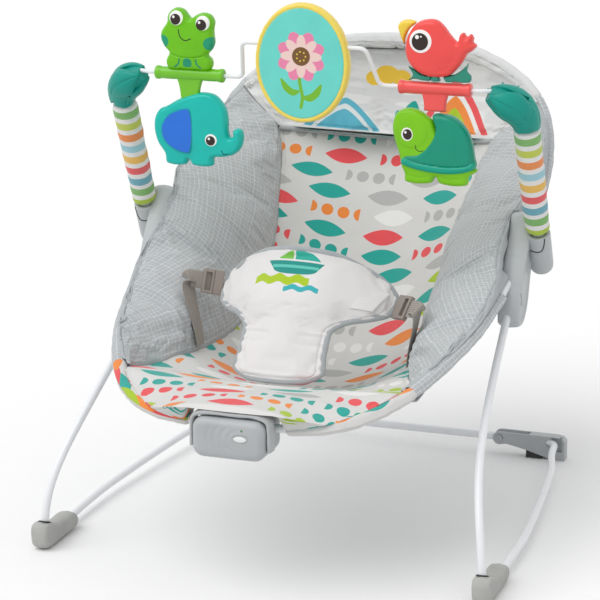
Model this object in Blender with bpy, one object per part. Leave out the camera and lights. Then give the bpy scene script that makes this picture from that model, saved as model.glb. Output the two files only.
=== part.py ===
"""A baby bouncer, modelled piece by piece.

Two white steel tubes rise from rubber feet and carry a padded sling seat between plastic hubs. A
vibration unit is clamped to the front hoop, and a toy bar plugs into sockets on the hubs.
Metres, +Z up, the head end towards +Y, the baby's left hand at +X. The sides are named as the
viewer in front of the seat sees them: left is -X and right is +X.
"""
import math

import bmesh
import bpy
import numpy as np
from mathutils import Matrix, Vector

# Clearances
GAP = 0.0003              # between pieces that touch
SLIDE_GAP = 0.0004        # around pieces that slide or turn in a bore

# Steel tubes
TUBE_R = 0.0040           # frame tube, 8 mm outside
BAR_R = 0.0043            # rear crossbar
TUBE_SIDES = 8
FOOT_X = 0.226            # half the distance between the front feet's tubes
FOOT_Y = -0.012           # where each leg stands in its foot
PIVOT_Z = 0.022           # height at which a leg flexes out of its foot
FLOOR_TUBE_Z = 0.0085     # axis of the floor tube at the foot
REAR_TUBE_Z = 0.0190      # axis of the floor tube and crossbar at the back
REAR_Y = 0.4275           # axis of the crossbar
REAR_BEND_R = 0.020
REAR_TUBE_X = 0.1945      # half width of the floor tubes where they bend inwards
MIDDLE_Y = 0.1920         # the origin lies this far behind the zero of the Y values below

# Rubber foot
FOOT_WIDTH = 0.018
FOOT_TOP = 0.0275
FOOT_BACK = 0.056
FOOT_MOUTH_R = 0.0062     # flare that lets the leg flex

# Rear bracket, a channel that joins floor tube and crossbar
BRACKET_WALL = 0.0020
BRACKET_TIP_R = 0.0074
SCREW_X = 0.129
BRACKET_OUT_X = 0.2035
BRACKET_TOP = 0.0262
SHANK_R = 0.0018
HEAD_R = 0.0040
TUBE_END_X = 0.1650       # where floor tube and crossbar meet inside the bracket

# Seat frame: hoop axes on the right side, from the hub to the middle
HOOP_X = 0.192
BACK_HOOP = [(HOOP_X, 0.236, 0.2725), (HOOP_X, 0.300, 0.3050), (0.189, 0.365, 0.3500),
             (0.176, 0.403, 0.3880), (0.150, 0.424, 0.4180), (0.100, 0.441, 0.4430),
             (0.050, 0.449, 0.4530), (0.000, 0.451, 0.4560)]
FRONT_HOOP = [(HOOP_X, 0.206, 0.2600), (0.190, 0.165, 0.2470), (0.183, 0.110, 0.2280),
              (0.169, 0.053, 0.2110), (0.1515, 0.010, 0.1955), (0.133, -0.021, 0.1850),
              (0.109, -0.045, 0.1765), (0.088, -0.056, 0.1725), (0.070, -0.060, 0.1700),
              (0.035, -0.062, 0.1685), (0.000, -0.062, 0.1680)]
LEG_PATH = [(0.2240, -0.0100, 0.045), (0.2205, -0.0040, 0.067), (0.2145, 0.0120, 0.093),
            (0.2080, 0.0370, 0.118), (0.2020, 0.0750, 0.146), (0.1970, 0.1250, 0.178),
            (0.1935, 0.1900, 0.2260), (0.1925, 0.2100, 0.2410)]
HEM_R = 0.0062            # sewn sleeve around a hoop

# Hub: a slab around the tube ends with a socket for the toy bar
HUB_IN_X = 0.1835
HUB_OUT_X = 0.2060
HUB_FROM, HUB_TO = -98.0, -45.0          # fan angles between which the seat stays inside the hubs
HUB_OUTLINE = [(0.188, 0.216), (0.207, 0.2125), (0.224, 0.226), (0.236, 0.258), (0.2475, 0.290),
               (0.2470, 0.318), (0.2370, 0.3215), (0.2260, 0.304), (0.2030, 0.272), (0.188, 0.242)]
SOCKET_R = 0.0122
SOCKET_BORE_R = 0.0078
ARM_FOOT = (0.2130, 0.2320, 0.3020)      # arm axis at the socket's mouth
ARM_HEAD = (0.2119, 0.1766, 0.4213)      # arm axis at the leaf cover
SOCKET_DEPTH = 0.030
SOCKET_BELOW = 0.046                      # from the arm foot to the socket's closed end

# Toy bar
POST_R = 0.0070
SLEEVE_R = 0.0131
SLEEVE_TAPER = 0.0008     # a sleeve is this much slimmer at its foot
WIRE_R = 0.0021
SPIN_Y = 0.1480           # axis of both turning toys
SPIN_Z = 0.4590
RISER_OUT_X = 0.0710
RISER_IN_X = 0.0635
FLIP_Y = 0.1250           # axis of the oval panel
FLIP_Z = 0.4980
WIRE_BEND_R = 0.0075
WIRE_END_X = 0.1920
WIRE_END_Y = 0.1560

# Turning toys, outlines in millimetres from the toy's axis
TOY_X = 0.1275            # middle of each toy's tube
TOY_TUBE_LENGTH = 0.0730
TOY_TUBE_R = 0.0062
TOY_FLARE_R = 0.0070      # the tube widens to this near both ends
TOY_FLARE = 0.0060        # length over which it widens
TOY_WIDTH = 0.0140        # thickness of a figure
STEM_HALF = 0.0105
STEM_DEPTH = 0.0070
LEFT_STEM = 0.0300        # from the axis to the stem's end, inside the elephant
RIGHT_STEM = 0.0218
EAR_PROUD = 0.0012
EAR_SUNK = 0.0008
SHELL_PROUD = 0.0020
SHELL_CORE = 0.0022       # half thickness of the turtle's body inside its shell
FROG = [(2.5, 56.5), (7.5, 59.7), (15.5, 62.5), (23, 60.5), (27, 54), (26, 46), (26.3, 39.5),
        (27, 33), (24.5, 26), (20, 20.5), (23.5, 16.5), (24.8, 11.7), (22.5, 5.5), (8, 4.5),
        (-8, 4.5), (-21, 5), (-24, 9.2), (-24, 14.8), (-21.3, 21), (-26.5, 27.5), (-29.8, 35),
        (-29.3, 42), (-26, 47.5), (-23, 52.2), (-22.3, 58.4), (-18.5, 63.8), (-11.5, 66.5),
        (-5, 64.5), (-0.8, 59.5)]
ELEPHANT = [(-32.4, -37), (-24.9, -33.5), (-12.1, -26), (2.8, -20), (14.6, -17.5), (26.3, -19.5),
            (33.8, -26), (38.6, -34), (40.4, -44), (40.6, -56), (42.6, -61.5), (46.1, -60),
            (46.3, -54.5), (50.4, -52), (55.2, -54), (56.6, -64), (53.6, -73), (46.6, -79),
            (37, -82), (25.3, -84), (24.2, -91.5), (2.8, -92), (-0.9, -86.5), (-4.6, -92),
            (-24.9, -91.5), (-27.1, -82), (-34.5, -71), (-38.3, -57), (-37.2, -45)]
EAR = [(1.7, -34.5), (-10.7, -36), (-22, -42.5), (-28.2, -53.5), (-26.5, -65.5), (-17.5, -74.5),
       (-5.1, -79), (1.7, -78.5)]
PARROT = [(-8, 67.4), (1, 67), (8.5, 61.2), (15, 53), (22, 47), (24, 54), (28, 56), (31, 52.5),
          (35, 55), (38, 51), (37.5, 47.5), (41, 44), (37, 39), (32.5, 36), (29, 30), (23, 21.5),
          (15, 14), (5, 11.5), (-6, 11.5), (-17, 15.5), (-25.5, 23), (-30, 34.5), (-29, 47),
          (-24, 57.5), (-17, 64.5)]
BEAK = [(-19.5, 64), (-25, 66), (-33, 65), (-38, 60), (-36.5, 53), (-34, 46), (-31.2, 41.5),
        (-30.4, 48), (-26.2, 57)]
TURTLE = [(-21.2, -20.4), (-13.8, -22.9), (-7.5, -27), (-1.2, -32), (3.1, -42), (10.4, -54),
          (22.1, -65), (35.8, -73), (43.7, -78), (35.8, -85), (33.7, -93), (6.2, -93), (2, -87),
          (-2.2, -93), (-28.6, -93), (-29.6, -85), (-32.8, -78), (-36, -64), (-40.2, -52),
          (-42.3, -38), (-38.4, -26), (-30.2, -20.9)]
SHELL = [(-1.7, -25.5), (12.6, -24.5), (23.1, -28.5), (33.1, -39), (38.4, -52), (41, -66),
         (42.6, -75), (35.8, -80), (10.4, -84), (-22.3, -80), (-33.3, -75), (-29.6, -66.5),
         (-14.9, -62.5), (-3.8, -52), (1.2, -40)]
OVAL_HALF_WIDTH = 0.0485
OVAL_HALF_HEIGHT = 0.0590
OVAL_DROP = 0.0170        # the oval hangs this far below its wire
OVAL_DEPTH = 0.0130
OVAL_RIM = 0.0045
PICTURE_DEPTH = 0.0012

# The seat is swept like a fan about an axis that runs across, above the seat. An angle of -90
# degrees points down, less points to the front lip and 0 points to the back.
FAN_Y = 0.165
FAN_Z = 0.430
# angle: depth of the middle of the seat below the fan axis
MIDDLE = [(-136, 0.341), (-131, 0.314), (-127, 0.300), (-118, 0.284), (-106, 0.283),
          (-90, 0.291), (-78, 0.293), (-65, 0.282), (-50, 0.271), (-35, 0.268), (-18, 0.287),
          (-6, 0.2965), (6, 0.2950)]
# angle: half width of the printed pad
PAD_HALF = [(-136, 0.050), (-134, 0.068), (-132.5, 0.084), (-131, 0.100), (-129.5, 0.1150),
            (-127, 0.1330), (-124.5, 0.1380), (-121, 0.1410),
            (-115, 0.137), (-106, 0.119), (-90, 0.106), (-70, 0.098), (-54, 0.096),
            (-35, 0.105), (-17, 0.122), (-13, 0.146), (-9.5, 0.168)]
# angle: depth of the printed pad's edge below the fan axis
PAD_EDGE = [(-136, 0.343), (-132.5, 0.3380), (-131, 0.3275), (-129.5, 0.3150), (-127, 0.2940),
            (-125.5, 0.2870), (-122, 0.280),
            (-115, 0.272), (-106, 0.256), (-90, 0.249), (-78, 0.249), (-65, 0.237),
            (-54, 0.228), (-35, 0.2275), (-18, 0.2405), (-9.5, 0.2390), (-2.7, 0.2530),
            (2.7, 0.2700), (6, 0.2830)]
PAD_THICK = 0.0095
PAD_EDGE_THICK = 0.0050
SLING_THICK = 0.0026
SLING_GAP = 0.0038        # the sling hangs this far below pads and bolsters
SEAM_GAP = 0.0013         # between the printed pad and the bolsters
PAD_FROM, PAD_TO = -135.5, -16.8
# angles of the seat's cross-sections behind the lip
STATIONS = [-128.3, -127.0, -125.0, -122.5, -119.0, -114.0, -105.0, -96.0, -87.0, -78.0, -69.0,
            -60.0, -51.0, -42.0, -33.0, -25.0, -19.5]
HEAD_STATIONS = [-13.3, -10.3, -7.4, -4.4, -1.4, 1.6]
LIP_FROM = -129.8         # in front of this angle the pad is a thick lip that covers the hoop
LIP_DEPTH = 0.3525
HEM_ROOM = 0.0085         # radius around the hoop's axis that the pad's underside keeps out of
HEAD_FROM, HEAD_TO = -16.3, 3.4
BOLSTER_FROM, BOLSTER_TO = -124.0, -11.5
# angle: how far the bolster swells above its inner seam, and above its outer seam
SWELL_IN = [(-124, 0.006), (-116, 0.030), (-106, 0.052), (-90, 0.070), (-70, 0.068),
            (-50, 0.060), (-32, 0.050), (-18, 0.028), (-11.5, 0.006)]
SWELL_OUT = [(-124, 0.006), (-110, 0.018), (-90, 0.016), (-60, 0.014), (-32, 0.016),
             (-18, 0.012), (-11.5, 0.005)]
# angle: depth of the bolster's outer seam
BOLSTER_RIM = [(-124, 0.2740), (-115, 0.2340), (-108, 0.2080), (-100, 0.1840), (-92, 0.1650),
               (-81, 0.1480), (-70, 0.1400), (-60, 0.1370), (-45, 0.1420), (-31, 0.1610),
               (-21, 0.1880), (-15, 0.2120), (-11.5, 0.2280)]

# Restraint
GUARD_THICK = 0.0070
GUARD_FOOT_ANGLE = -118.0
GUARD_TOP = (0.117, 0.2960)               # Y and Z of the pad's top edge in the middle
GUARD_BACK = 5.7                          # the pad bends back by this much times x squared
GUARD_DROP = 4.3                          # and down by this much
# share of the pad's height: half width
GUARD_HALF = [(0.0, 0.030), (0.06, 0.045), (0.22, 0.043), (0.38, 0.043), (0.48, 0.055),
              (0.56, 0.078), (0.64, 0.089), (0.78, 0.0915), (0.88, 0.085), (0.95, 0.068),
              (1.0, 0.040)]
# inner end of each buckle, the way out to its strap and the way up its long edge; the left side's
# values are those of its mirror image
BUCKLES = {"right": ((0.0941, 0.1380, 0.2395), (0.762, -0.630, 0.150), (0.25, 0.50, 0.83)),
           "left": ((0.0936, 0.1463, 0.2455), (0.865, -0.455, 0.215), (-0.05, 0.35, 0.93))}
BUCKLE_WIDTH = 0.0250
BUCKLE_THICK = 0.0056
BUCKLE_WALL = 0.0014
BUCKLE_LENGTH = 0.0095
TONGUE_LENGTH = 0.0060
CLIP_LENGTH = 0.0115
CLIP_BAR = 0.0025
CLIP_TRAVEL = 0.0050
STRAP_WIDTH = 0.0180
STRAP_THICK = 0.0014
STRAP_RUN = 0.0054        # straight webbing left outside a clip that has slid out
STRAP_ANGLE = -99.0                       # fan angle at which a strap comes out of the seat's seam

# Vibration unit
UNIT_HALF = 0.0360
UNIT_FRONT = -0.0920
UNIT_BACK = -0.0400
UNIT_BOTTOM = 0.1420
UNIT_TOP = 0.1810
UNIT_SPLIT = -0.0620
UNIT_WALL = 0.0020
UNIT_ROUND = 0.0080
BUTTON_X = 0.0130
BUTTON_Z = 0.1640
BUTTON_HALF_W = 0.0068
BUTTON_HALF_H = 0.0031
BUTTON_PROUD = 0.0012
LED_X = 0.0145
LED_Z = 0.1725
LED_R = 0.0012
CELL_R = 0.0070
CELL_LENGTH = 0.0500
CELL_Y = -0.0775
CELL_Z = 0.1525
MOTOR_R = 0.0050
MOTOR_LENGTH = 0.0160
MOTOR_Y = -0.0780
MOTOR_Z = 0.1725
WEIGHT_R = 0.0055
WEIGHT_LENGTH = 0.0050
DOOR_HALF = 0.0220
DOOR_FRONT = -0.0860
DOOR_BACK = -0.0690
TRIM_THICK = 0.0050
TRIM_FRONT = -0.0860
TRIM_BACK = -0.0700

# Colours: name, red, green, blue, roughness, metallic
FINISHES = {
    "white_tube": (0.90, 0.91, 0.93, 0.35, 0.0),
    "grey_plastic": (0.56, 0.58, 0.60, 0.45, 0.0),
    "hub_plastic": (0.62, 0.65, 0.66, 0.45, 0.0),
    "foot_rubber": (0.55, 0.56, 0.53, 0.75, 0.0),
    "dark_rubber": (0.08, 0.08, 0.08, 0.80, 0.0),
    "steel": (0.60, 0.60, 0.62, 0.30, 1.0),
    "grid_fabric": (0.60, 0.62, 0.64, 0.95, 0.0),
    "plain_fabric": (0.55, 0.58, 0.60, 0.95, 0.0),
    "printed_fabric": (0.82, 0.81, 0.80, 0.95, 0.0),
    "guard_fabric": (0.84, 0.82, 0.82, 0.95, 0.0),
    "taupe_plastic": (0.45, 0.40, 0.37, 0.50, 0.0),
    "webbing": (0.32, 0.32, 0.33, 0.90, 0.0),
    "button_white": (0.92, 0.93, 0.92, 0.30, 0.0),
    "green_lens": (0.10, 0.30, 0.14, 0.20, 0.0),
    "cell_wrap": (0.12, 0.13, 0.15, 0.40, 0.0),
    "sleeve_fabric": (0.90, 0.88, 0.80, 0.95, 0.0),
    "leaf_teal": (0.01, 0.40, 0.35, 0.45, 0.0),
    "frog_green": (0.20, 0.60, 0.02, 0.35, 0.0),
    "elephant_blue": (0.03, 0.66, 0.60, 0.30, 0.0),
    "ear_blue": (0.06, 0.26, 0.80, 0.35, 0.0),
    "coral": (0.90, 0.10, 0.09, 0.35, 0.0),
    "beak_yellow": (0.95, 0.70, 0.05, 0.35, 0.0),
    "shell_teal": (0.00, 0.35, 0.28, 0.35, 0.0),
    "oval_yellow": (0.93, 0.70, 0.10, 0.35, 0.0),
    "picture_print": (0.16, 0.74, 0.68, 0.40, 0.0),
}


# Numbers and paths
def curve_value(table, x):
    """Smooth value between the pairs of a table, without overshoot."""
    xs = np.array([row[0] for row in table], float)
    ys = np.array([row[1] for row in table], float)
    slope = np.diff(ys) / np.diff(xs)
    inner = np.where(slope[:-1] * slope[1:] > 0,
                     2 * slope[:-1] * slope[1:] / np.where(slope[:-1] + slope[1:] == 0, 1,
                                                           slope[:-1] + slope[1:]), 0)
    m = np.concatenate([[slope[0]], inner, [slope[-1]]])
    x = np.clip(np.asarray(x, float), xs[0], xs[-1])
    i = np.clip(np.searchsorted(xs, x) - 1, 0, len(xs) - 2)
    h = xs[i + 1] - xs[i]
    t = (x - xs[i]) / h
    return ((2 * t**3 - 3 * t**2 + 1) * ys[i] + (t**3 - 2 * t**2 + t) * h * m[i]
            + (3 * t**2 - 2 * t**3) * ys[i + 1] + (t**3 - t**2) * h * m[i + 1])


def smooth_path(points, count, closed=False):
    """Catmull-Rom curve through the points, as count points at even distance."""
    p = np.array(points, float)
    if closed:
        ext = np.vstack([p[-1], p, p[0], p[1]])
    else:
        ext = np.vstack([2 * p[0] - p[1], p, 2 * p[-1] - p[-2]])
    knot = np.concatenate([[0], np.cumsum(np.linalg.norm(np.diff(ext, axis=0), axis=1) ** 0.5)])
    fine = []
    for i in range(1, len(ext) - 2):
        k0, k1, k2, k3 = knot[i - 1:i + 3]
        t = np.linspace(k1, k2, 24, endpoint=False)[:, None]
        a1 = (k1 - t) / (k1 - k0) * ext[i - 1] + (t - k0) / (k1 - k0) * ext[i]
        a2 = (k2 - t) / (k2 - k1) * ext[i] + (t - k1) / (k2 - k1) * ext[i + 1]
        a3 = (k3 - t) / (k3 - k2) * ext[i + 1] + (t - k2) / (k3 - k2) * ext[i + 2]
        b1 = (k2 - t) / (k2 - k0) * a1 + (t - k0) / (k2 - k0) * a2
        b2 = (k3 - t) / (k3 - k1) * a2 + (t - k1) / (k3 - k1) * a3
        fine.append((k2 - t) / (k2 - k1) * b1 + (t - k1) / (k2 - k1) * b2)
    fine = np.vstack(fine + [p[:1] if closed else p[-1:]])
    way = np.concatenate([[0], np.cumsum(np.linalg.norm(np.diff(fine, axis=0), axis=1))])
    at = np.linspace(0, way[-1], count, endpoint=not closed)
    return np.stack([np.interp(at, way, fine[:, k]) for k in range(fine.shape[1])], axis=1)


def filleted(corners, radius, steps=5):
    """Straight runs between the corners, joined by arcs of one radius."""
    c = [np.array(p, float) for p in corners]
    out = [c[0]]
    for before, here, after in zip(c[:-2], c[1:-1], c[2:]):
        a = (before - here) / np.linalg.norm(before - here)
        b = (after - here) / np.linalg.norm(after - here)
        half = math.acos(float(np.clip(a @ b, -1, 1))) / 2
        reach = radius / math.tan(half)
        middle = here + (a + b) / np.linalg.norm(a + b) * radius / math.sin(half)
        start, end = here + a * reach - middle, here + b * reach - middle
        turn = math.pi - 2 * half
        for k in range(steps + 1):
            s = k / steps
            out.append(middle + (math.sin((1 - s) * turn) * start + math.sin(s * turn) * end)
                       / math.sin(turn))
    out.append(c[-1])
    return np.array(out)


def mirrored(points):
    """The same points on the other side of the middle plane."""
    return np.array(points, float) * [-1, 1, 1]


def across(half):
    """A whole hoop from its right half, which ends in the middle."""
    half = np.array(half, float)
    return np.vstack([half, mirrored(half[::-1])[1:]])


def frames_along(path):
    """Two unit vectors across the path at each point, carried along without twist."""
    d = np.gradient(path, axis=0)
    d /= np.linalg.norm(d, axis=1)[:, None]
    side = np.cross(d[0], [0, 0, 1.0])
    if np.linalg.norm(side) < 0.2:
        side = np.cross(d[0], [0, 1.0, 0])
    u = [side / np.linalg.norm(side)]
    for k in range(1, len(path)):
        v = u[-1] - d[k] * (u[-1] @ d[k])
        u.append(v / np.linalg.norm(v))
    u = np.array(u)
    return u, np.cross(d, u)


# Meshes
MATERIALS = {}


def finish(name):
    """The material of that name, made once."""
    if name not in MATERIALS:
        r, g, b, rough, metal = FINISHES[name]
        mat = bpy.data.materials.new(name)
        mat.use_nodes = True
        shader = mat.node_tree.nodes["Principled BSDF"]
        shader.inputs["Base Color"].default_value = (r, g, b, 1)
        shader.inputs["Roughness"].default_value = rough
        shader.inputs["Metallic"].default_value = metal
        MATERIALS[name] = mat
    return MATERIALS[name]


def make_object(name, verts, faces, material, origin=(0, 0, 0), smooth=True):
    """One object with its origin at the given place and its faces pointing out."""
    mesh = bpy.data.meshes.new(name)
    place = np.array(origin, float)
    mesh.from_pydata((np.array(verts) - place).tolist(), [], [list(map(int, f)) for f in faces])
    bm = bmesh.new()
    bm.from_mesh(mesh)
    bmesh.ops.recalc_face_normals(bm, faces=bm.faces)
    if bm.calc_volume(signed=True) < 0:
        bmesh.ops.reverse_faces(bm, faces=bm.faces)
    bm.to_mesh(mesh)
    bm.free()
    if smooth:
        mesh.shade_smooth()
        mesh.set_sharp_from_angle(angle=math.radians(40))
    obj = bpy.data.objects.new(name, mesh)
    obj.location = place
    bpy.context.scene.collection.objects.link(obj)
    mesh.materials.append(finish(material))
    return obj


def loft(loops):
    """Vertices and faces of a solid through equal closed loops, with flat ends."""
    rows, n = len(loops), len(loops[0])
    verts = np.vstack(loops)
    faces = [(r * n + i, r * n + (i + 1) % n, (r + 1) * n + (i + 1) % n, (r + 1) * n + i)
             for r in range(rows - 1) for i in range(n)]
    faces.append(tuple(range(n))[::-1])
    faces.append(tuple((rows - 1) * n + i for i in range(n)))
    return verts, faces


def tube_loops(path, radii, sides):
    """Circles across the path."""
    u, v = frames_along(path)
    turn = np.arange(sides) * 2 * math.pi / sides
    ring = np.cos(turn)[None, :, None] * u[:, None] + np.sin(turn)[None, :, None] * v[:, None]
    return path[:, None] + ring * np.broadcast_to(radii, len(path))[:, None, None]


def make_tube(name, path, radii, material, sides=TUBE_SIDES, origin=(0, 0, 0)):
    """A round bar along the path."""
    verts, faces = loft(list(tube_loops(np.array(path, float), radii, sides)))
    return make_object(name, verts, faces, material, origin)


def make_sleeve(name, path, outer, inner, material, sides=TUBE_SIDES, origin=(0, 0, 0)):
    """A pipe along the path: an outer and an inner wall, joined at both ends."""
    path = np.array(path, float)
    out, into = tube_loops(path, outer, sides), tube_loops(path, inner, sides)
    rows = len(path)
    verts = np.vstack([out.reshape(-1, 3), into.reshape(-1, 3)])
    base = rows * sides
    faces = []
    for i in range(sides):
        j = (i + 1) % sides
        for r in range(rows - 1):
            faces.append((r * sides + i, r * sides + j, (r + 1) * sides + j, (r + 1) * sides + i))
            faces.append((base + r * sides + j, base + r * sides + i,
                          base + (r + 1) * sides + i, base + (r + 1) * sides + j))
        faces.append((j, i, base + i, base + j))
        end = (rows - 1) * sides
        faces.append((end + i, end + j, base + end + j, base + end + i))
    return make_object(name, verts, faces, material, origin)


def bore_size(radius, gap=GAP, sides=TUBE_SIDES):
    """Corner radius of a bore with flat sides that clears a round bar by the gap."""
    return (radius + gap) / math.cos(math.pi / sides)


def make_block(name, low, high, material, edge=0.0, steps=2, origin=None):
    """A box between two corners, with rounded edges."""
    low, high = Vector(low), Vector(high)
    bm = bmesh.new()
    bmesh.ops.create_cube(bm, size=1)
    size = high - low
    bmesh.ops.scale(bm, vec=size, verts=bm.verts)
    bmesh.ops.translate(bm, vec=(low + high) / 2, verts=bm.verts)
    if edge:
        bmesh.ops.bevel(bm, geom=bm.edges[:], offset=edge, segments=steps, profile=0.5,
                        affect="EDGES")
    verts = [tuple(v.co) for v in bm.verts]
    faces = [[v.index for v in f.verts] for f in bm.faces]
    bm.free()
    return make_object(name, verts, faces, material, origin or tuple((low + high) / 2))


def make_plate(name, outline, depth, material, edge=0.0, steps=2, origin=(0, 0, 0), axis="y"):
    """An outline pushed out on both sides of zero along an axis, then placed at its origin.

    The outline gives x and z when the axis is y, and y and z when the axis is x."""
    pts = np.array(outline, float)
    near, far = depth
    if axis == "y":
        loops = [np.stack([pts[:, 0], np.full(len(pts), d), pts[:, 1]], 1) for d in (near, far)]
    else:
        loops = [np.stack([np.full(len(pts), d), pts[:, 0], pts[:, 1]], 1) for d in (near, far)]
    verts, faces = loft(loops)
    obj = make_object(name, np.array(verts) + origin, faces, material, origin)
    if edge:
        add = obj.modifiers.new("rounding", "BEVEL")
        add.width = edge
        add.segments = steps
        add.limit_method = "ANGLE"
        add.angle_limit = math.radians(50)
    return obj


def boolean(obj, tool, operation):
    """Join or cut with a tool that stays hidden."""
    tool.hide_render = True
    tool.display_type = "WIRE"
    step = obj.modifiers.new(tool.name, "BOOLEAN")
    step.operation = operation
    step.object = tool
    return obj


def cut(obj, *tools):
    """Take the tools away from the object."""
    for tool in tools:
        boolean(obj, tool, "DIFFERENCE")
    return obj


def join(obj, *tools):
    """Melt the tools into the object."""
    for tool in tools:
        boolean(obj, tool, "UNION")
    return obj


def rod(name, start, end, radius, material="steel", sides=16, origin=None):
    """A straight round bar between two points."""
    path = np.array([start, end], float)
    return make_tube(name, path, radius, material, sides, origin or tuple(start))


def circle_outline(half_x, half_z, count, middle=(0.0, 0.0)):
    """Points of an ellipse."""
    t = np.arange(count) * 2 * math.pi / count
    return np.stack([middle[0] + half_x * np.cos(t), middle[1] + half_z * np.sin(t)], axis=1)


def sides_of(maker):
    """Make a piece on the right, then on the left as its mirror image."""
    return [maker("right", 1.0), maker("left", -1.0)]


def flip(points, side):
    """Points of the right side, moved to the side asked for."""
    return np.array(points, float) * [side, 1, 1]


# Seat surfaces
def fan(x, depth, angle):
    """A point of the seat from its place across, its depth below the fan axis and its angle."""
    a = np.radians(angle)
    return np.stack(np.broadcast_arrays(x, FAN_Y + depth * np.cos(a), FAN_Z + depth * np.sin(a)),
                    axis=-1)


def hoop_lines():
    """Angle, half width and depth along both hoops' axes, from front to back."""
    line = np.vstack([smooth_path(FRONT_HOOP, 160)[::-1], smooth_path(BACK_HOOP, 160)])
    dy, dz = line[:, 1] - FAN_Y, line[:, 2] - FAN_Z
    angle = np.maximum.accumulate(np.degrees(np.arctan2(dz, dy)))
    return angle + np.arange(len(angle)) * 1e-6, line[:, 0], np.hypot(dy, dz)


HOOP_ANGLE, HOOP_HALF, HOOP_DEPTH = hoop_lines()


def hoop_at(angle):
    """Half width and depth of the hoop's axis at an angle."""
    return np.interp(angle, HOOP_ANGLE, HOOP_HALF), np.interp(angle, HOOP_ANGLE, HOOP_DEPTH)


def inside_hem(angle, clear=HEM_R + GAP):
    """Half width that stays clear of the hem, measured square to the hoop's own direction."""
    way = HOOP_DEPTH.mean() * np.radians(HOOP_ANGLE)
    dx, dw = np.gradient(HOOP_HALF), np.gradient(way)
    size = np.hypot(dx, dw) + 1e-12
    x, w = HOOP_HALF - clear * dw / size, way + clear * dx / size
    a = np.maximum.accumulate(np.degrees(w / HOOP_DEPTH.mean()))
    a = a + np.arange(len(a)) * 1e-6
    return np.interp(angle, a, x), (a[0], a[-1])


def base_depth(x, angle):
    """Depth of the face on which pad and bolsters lie, from the middle out to the hem."""
    x = np.abs(x)
    pad_x = curve_value(PAD_HALF, angle)
    rim_x, _ = inside_hem(angle)
    _, rim = hoop_at(angle)
    middle = curve_value(MIDDLE, angle) + PAD_THICK
    edge = curve_value(PAD_EDGE, angle) + PAD_EDGE_THICK
    near_rim = np.clip((pad_x - rim_x + 0.020) / 0.010, 0, 1)
    rim = rim + near_rim * max(edge - rim, 0)
    edge_x = min(pad_x, rim_x - 0.012)
    inner = middle + (edge - middle) * np.clip(x / edge_x, 0, 1)**2
    outer = np.clip((x - edge_x) / (rim_x - edge_x), 0, 1)
    return np.where(x <= edge_x, inner, edge + (rim - edge) * outer)


def over_hem(x, depth, angle):
    """The depth, or less where the hem around the hoop would be in the way."""
    across_hem = x[:, None] - HOOP_HALF[None, :]
    along = np.radians(angle - HOOP_ANGLE) * HOOP_DEPTH
    room = HEM_ROOM**2 - across_hem**2 - along**2
    top = np.where(room > 0, HOOP_DEPTH - np.sqrt(np.clip(room, 0, None)), 1.0)
    return np.minimum(depth, top.min(axis=1))


def pad_top(x, half, angle):
    """Depth of a pad's upper face: a shallow trough with drawn-in edges."""
    t = np.clip(np.abs(x) / half, 0, 1)
    middle, edge = curve_value(MIDDLE, angle), curve_value(PAD_EDGE, angle)
    return middle + (edge - middle) * t**2 + 0.0022 * t**10


def lay_pad(name, material, angles, half_at, cells):
    """A pad on the seat between two angles, thinner at its two ends."""
    loops = []
    for k, angle in enumerate(angles):
        half = half_at(angle)
        x = half * np.sin(np.linspace(-math.pi / 2, math.pi / 2, cells))
        end = min(k, len(angles) - 1 - k)
        draw = 0.0022 * (0.30 ** end) if end < 3 else 0.0
        top = fan(x, pad_top(x, half, angle) + draw, angle)
        if angle > LIP_FROM:
            under = base_depth(x, angle) - GAP
        else:
            edge = curve_value(PAD_EDGE, angle) + PAD_EDGE_THICK
            under = LIP_DEPTH - draw - (LIP_DEPTH - edge) * (x / half)**4
        under = over_hem(np.abs(x), under, angle)
        loops.append(np.vstack([top, fan(x, under, angle)[::-1]]))
    verts, faces = loft(loops)
    return make_object(name, verts, faces, material)


def bolster_loop(angle, steps=9):
    """One closed section of the right bolster: inner seam, swollen top, hem side and base."""
    seam_x = curve_value(PAD_HALF, angle) + SEAM_GAP
    seam = curve_value(PAD_EDGE, angle)
    hoop_x, hoop_depth = hoop_at(angle)
    inner = np.array([seam_x, seam - 0.0006])
    rim = min(float(curve_value(BOLSTER_RIM, angle)), hoop_depth - HEM_R - 0.0042)
    outer = np.array([hoop_x + 0.003, rim])
    rise, lift = curve_value(SWELL_IN, angle), curve_value(SWELL_OUT, angle)
    c1 = inner + np.array([-0.05, -1.0]) * rise
    c2 = outer + np.array([-0.60, -0.80]) * lift
    t = np.linspace(0, 1, steps)[:, None]
    top = ((1 - t)**3 * inner + 3 * (1 - t)**2 * t * c1 + 3 * (1 - t) * t**2 * c2 + t**3 * outer)
    rim_x, _ = inside_hem(angle, HEM_R + 0.0036)
    reach = hoop_x - rim_x
    side = np.array([[hoop_x - 0.72 * reach, hoop_depth - 0.0090], [rim_x - 0.0006, hoop_depth - 0.0012]])
    x = np.linspace(rim_x - 0.004, seam_x, 4)
    under = np.stack([x, base_depth(x, angle) - GAP], axis=1)
    loop = np.vstack([top, side, under])
    if HUB_FROM < angle < HUB_TO:
        loop[:, 0] = np.minimum(loop[:, 0], HUB_IN_X - 2 * GAP)
    return fan(loop[:, 0], loop[:, 1], angle)


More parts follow.
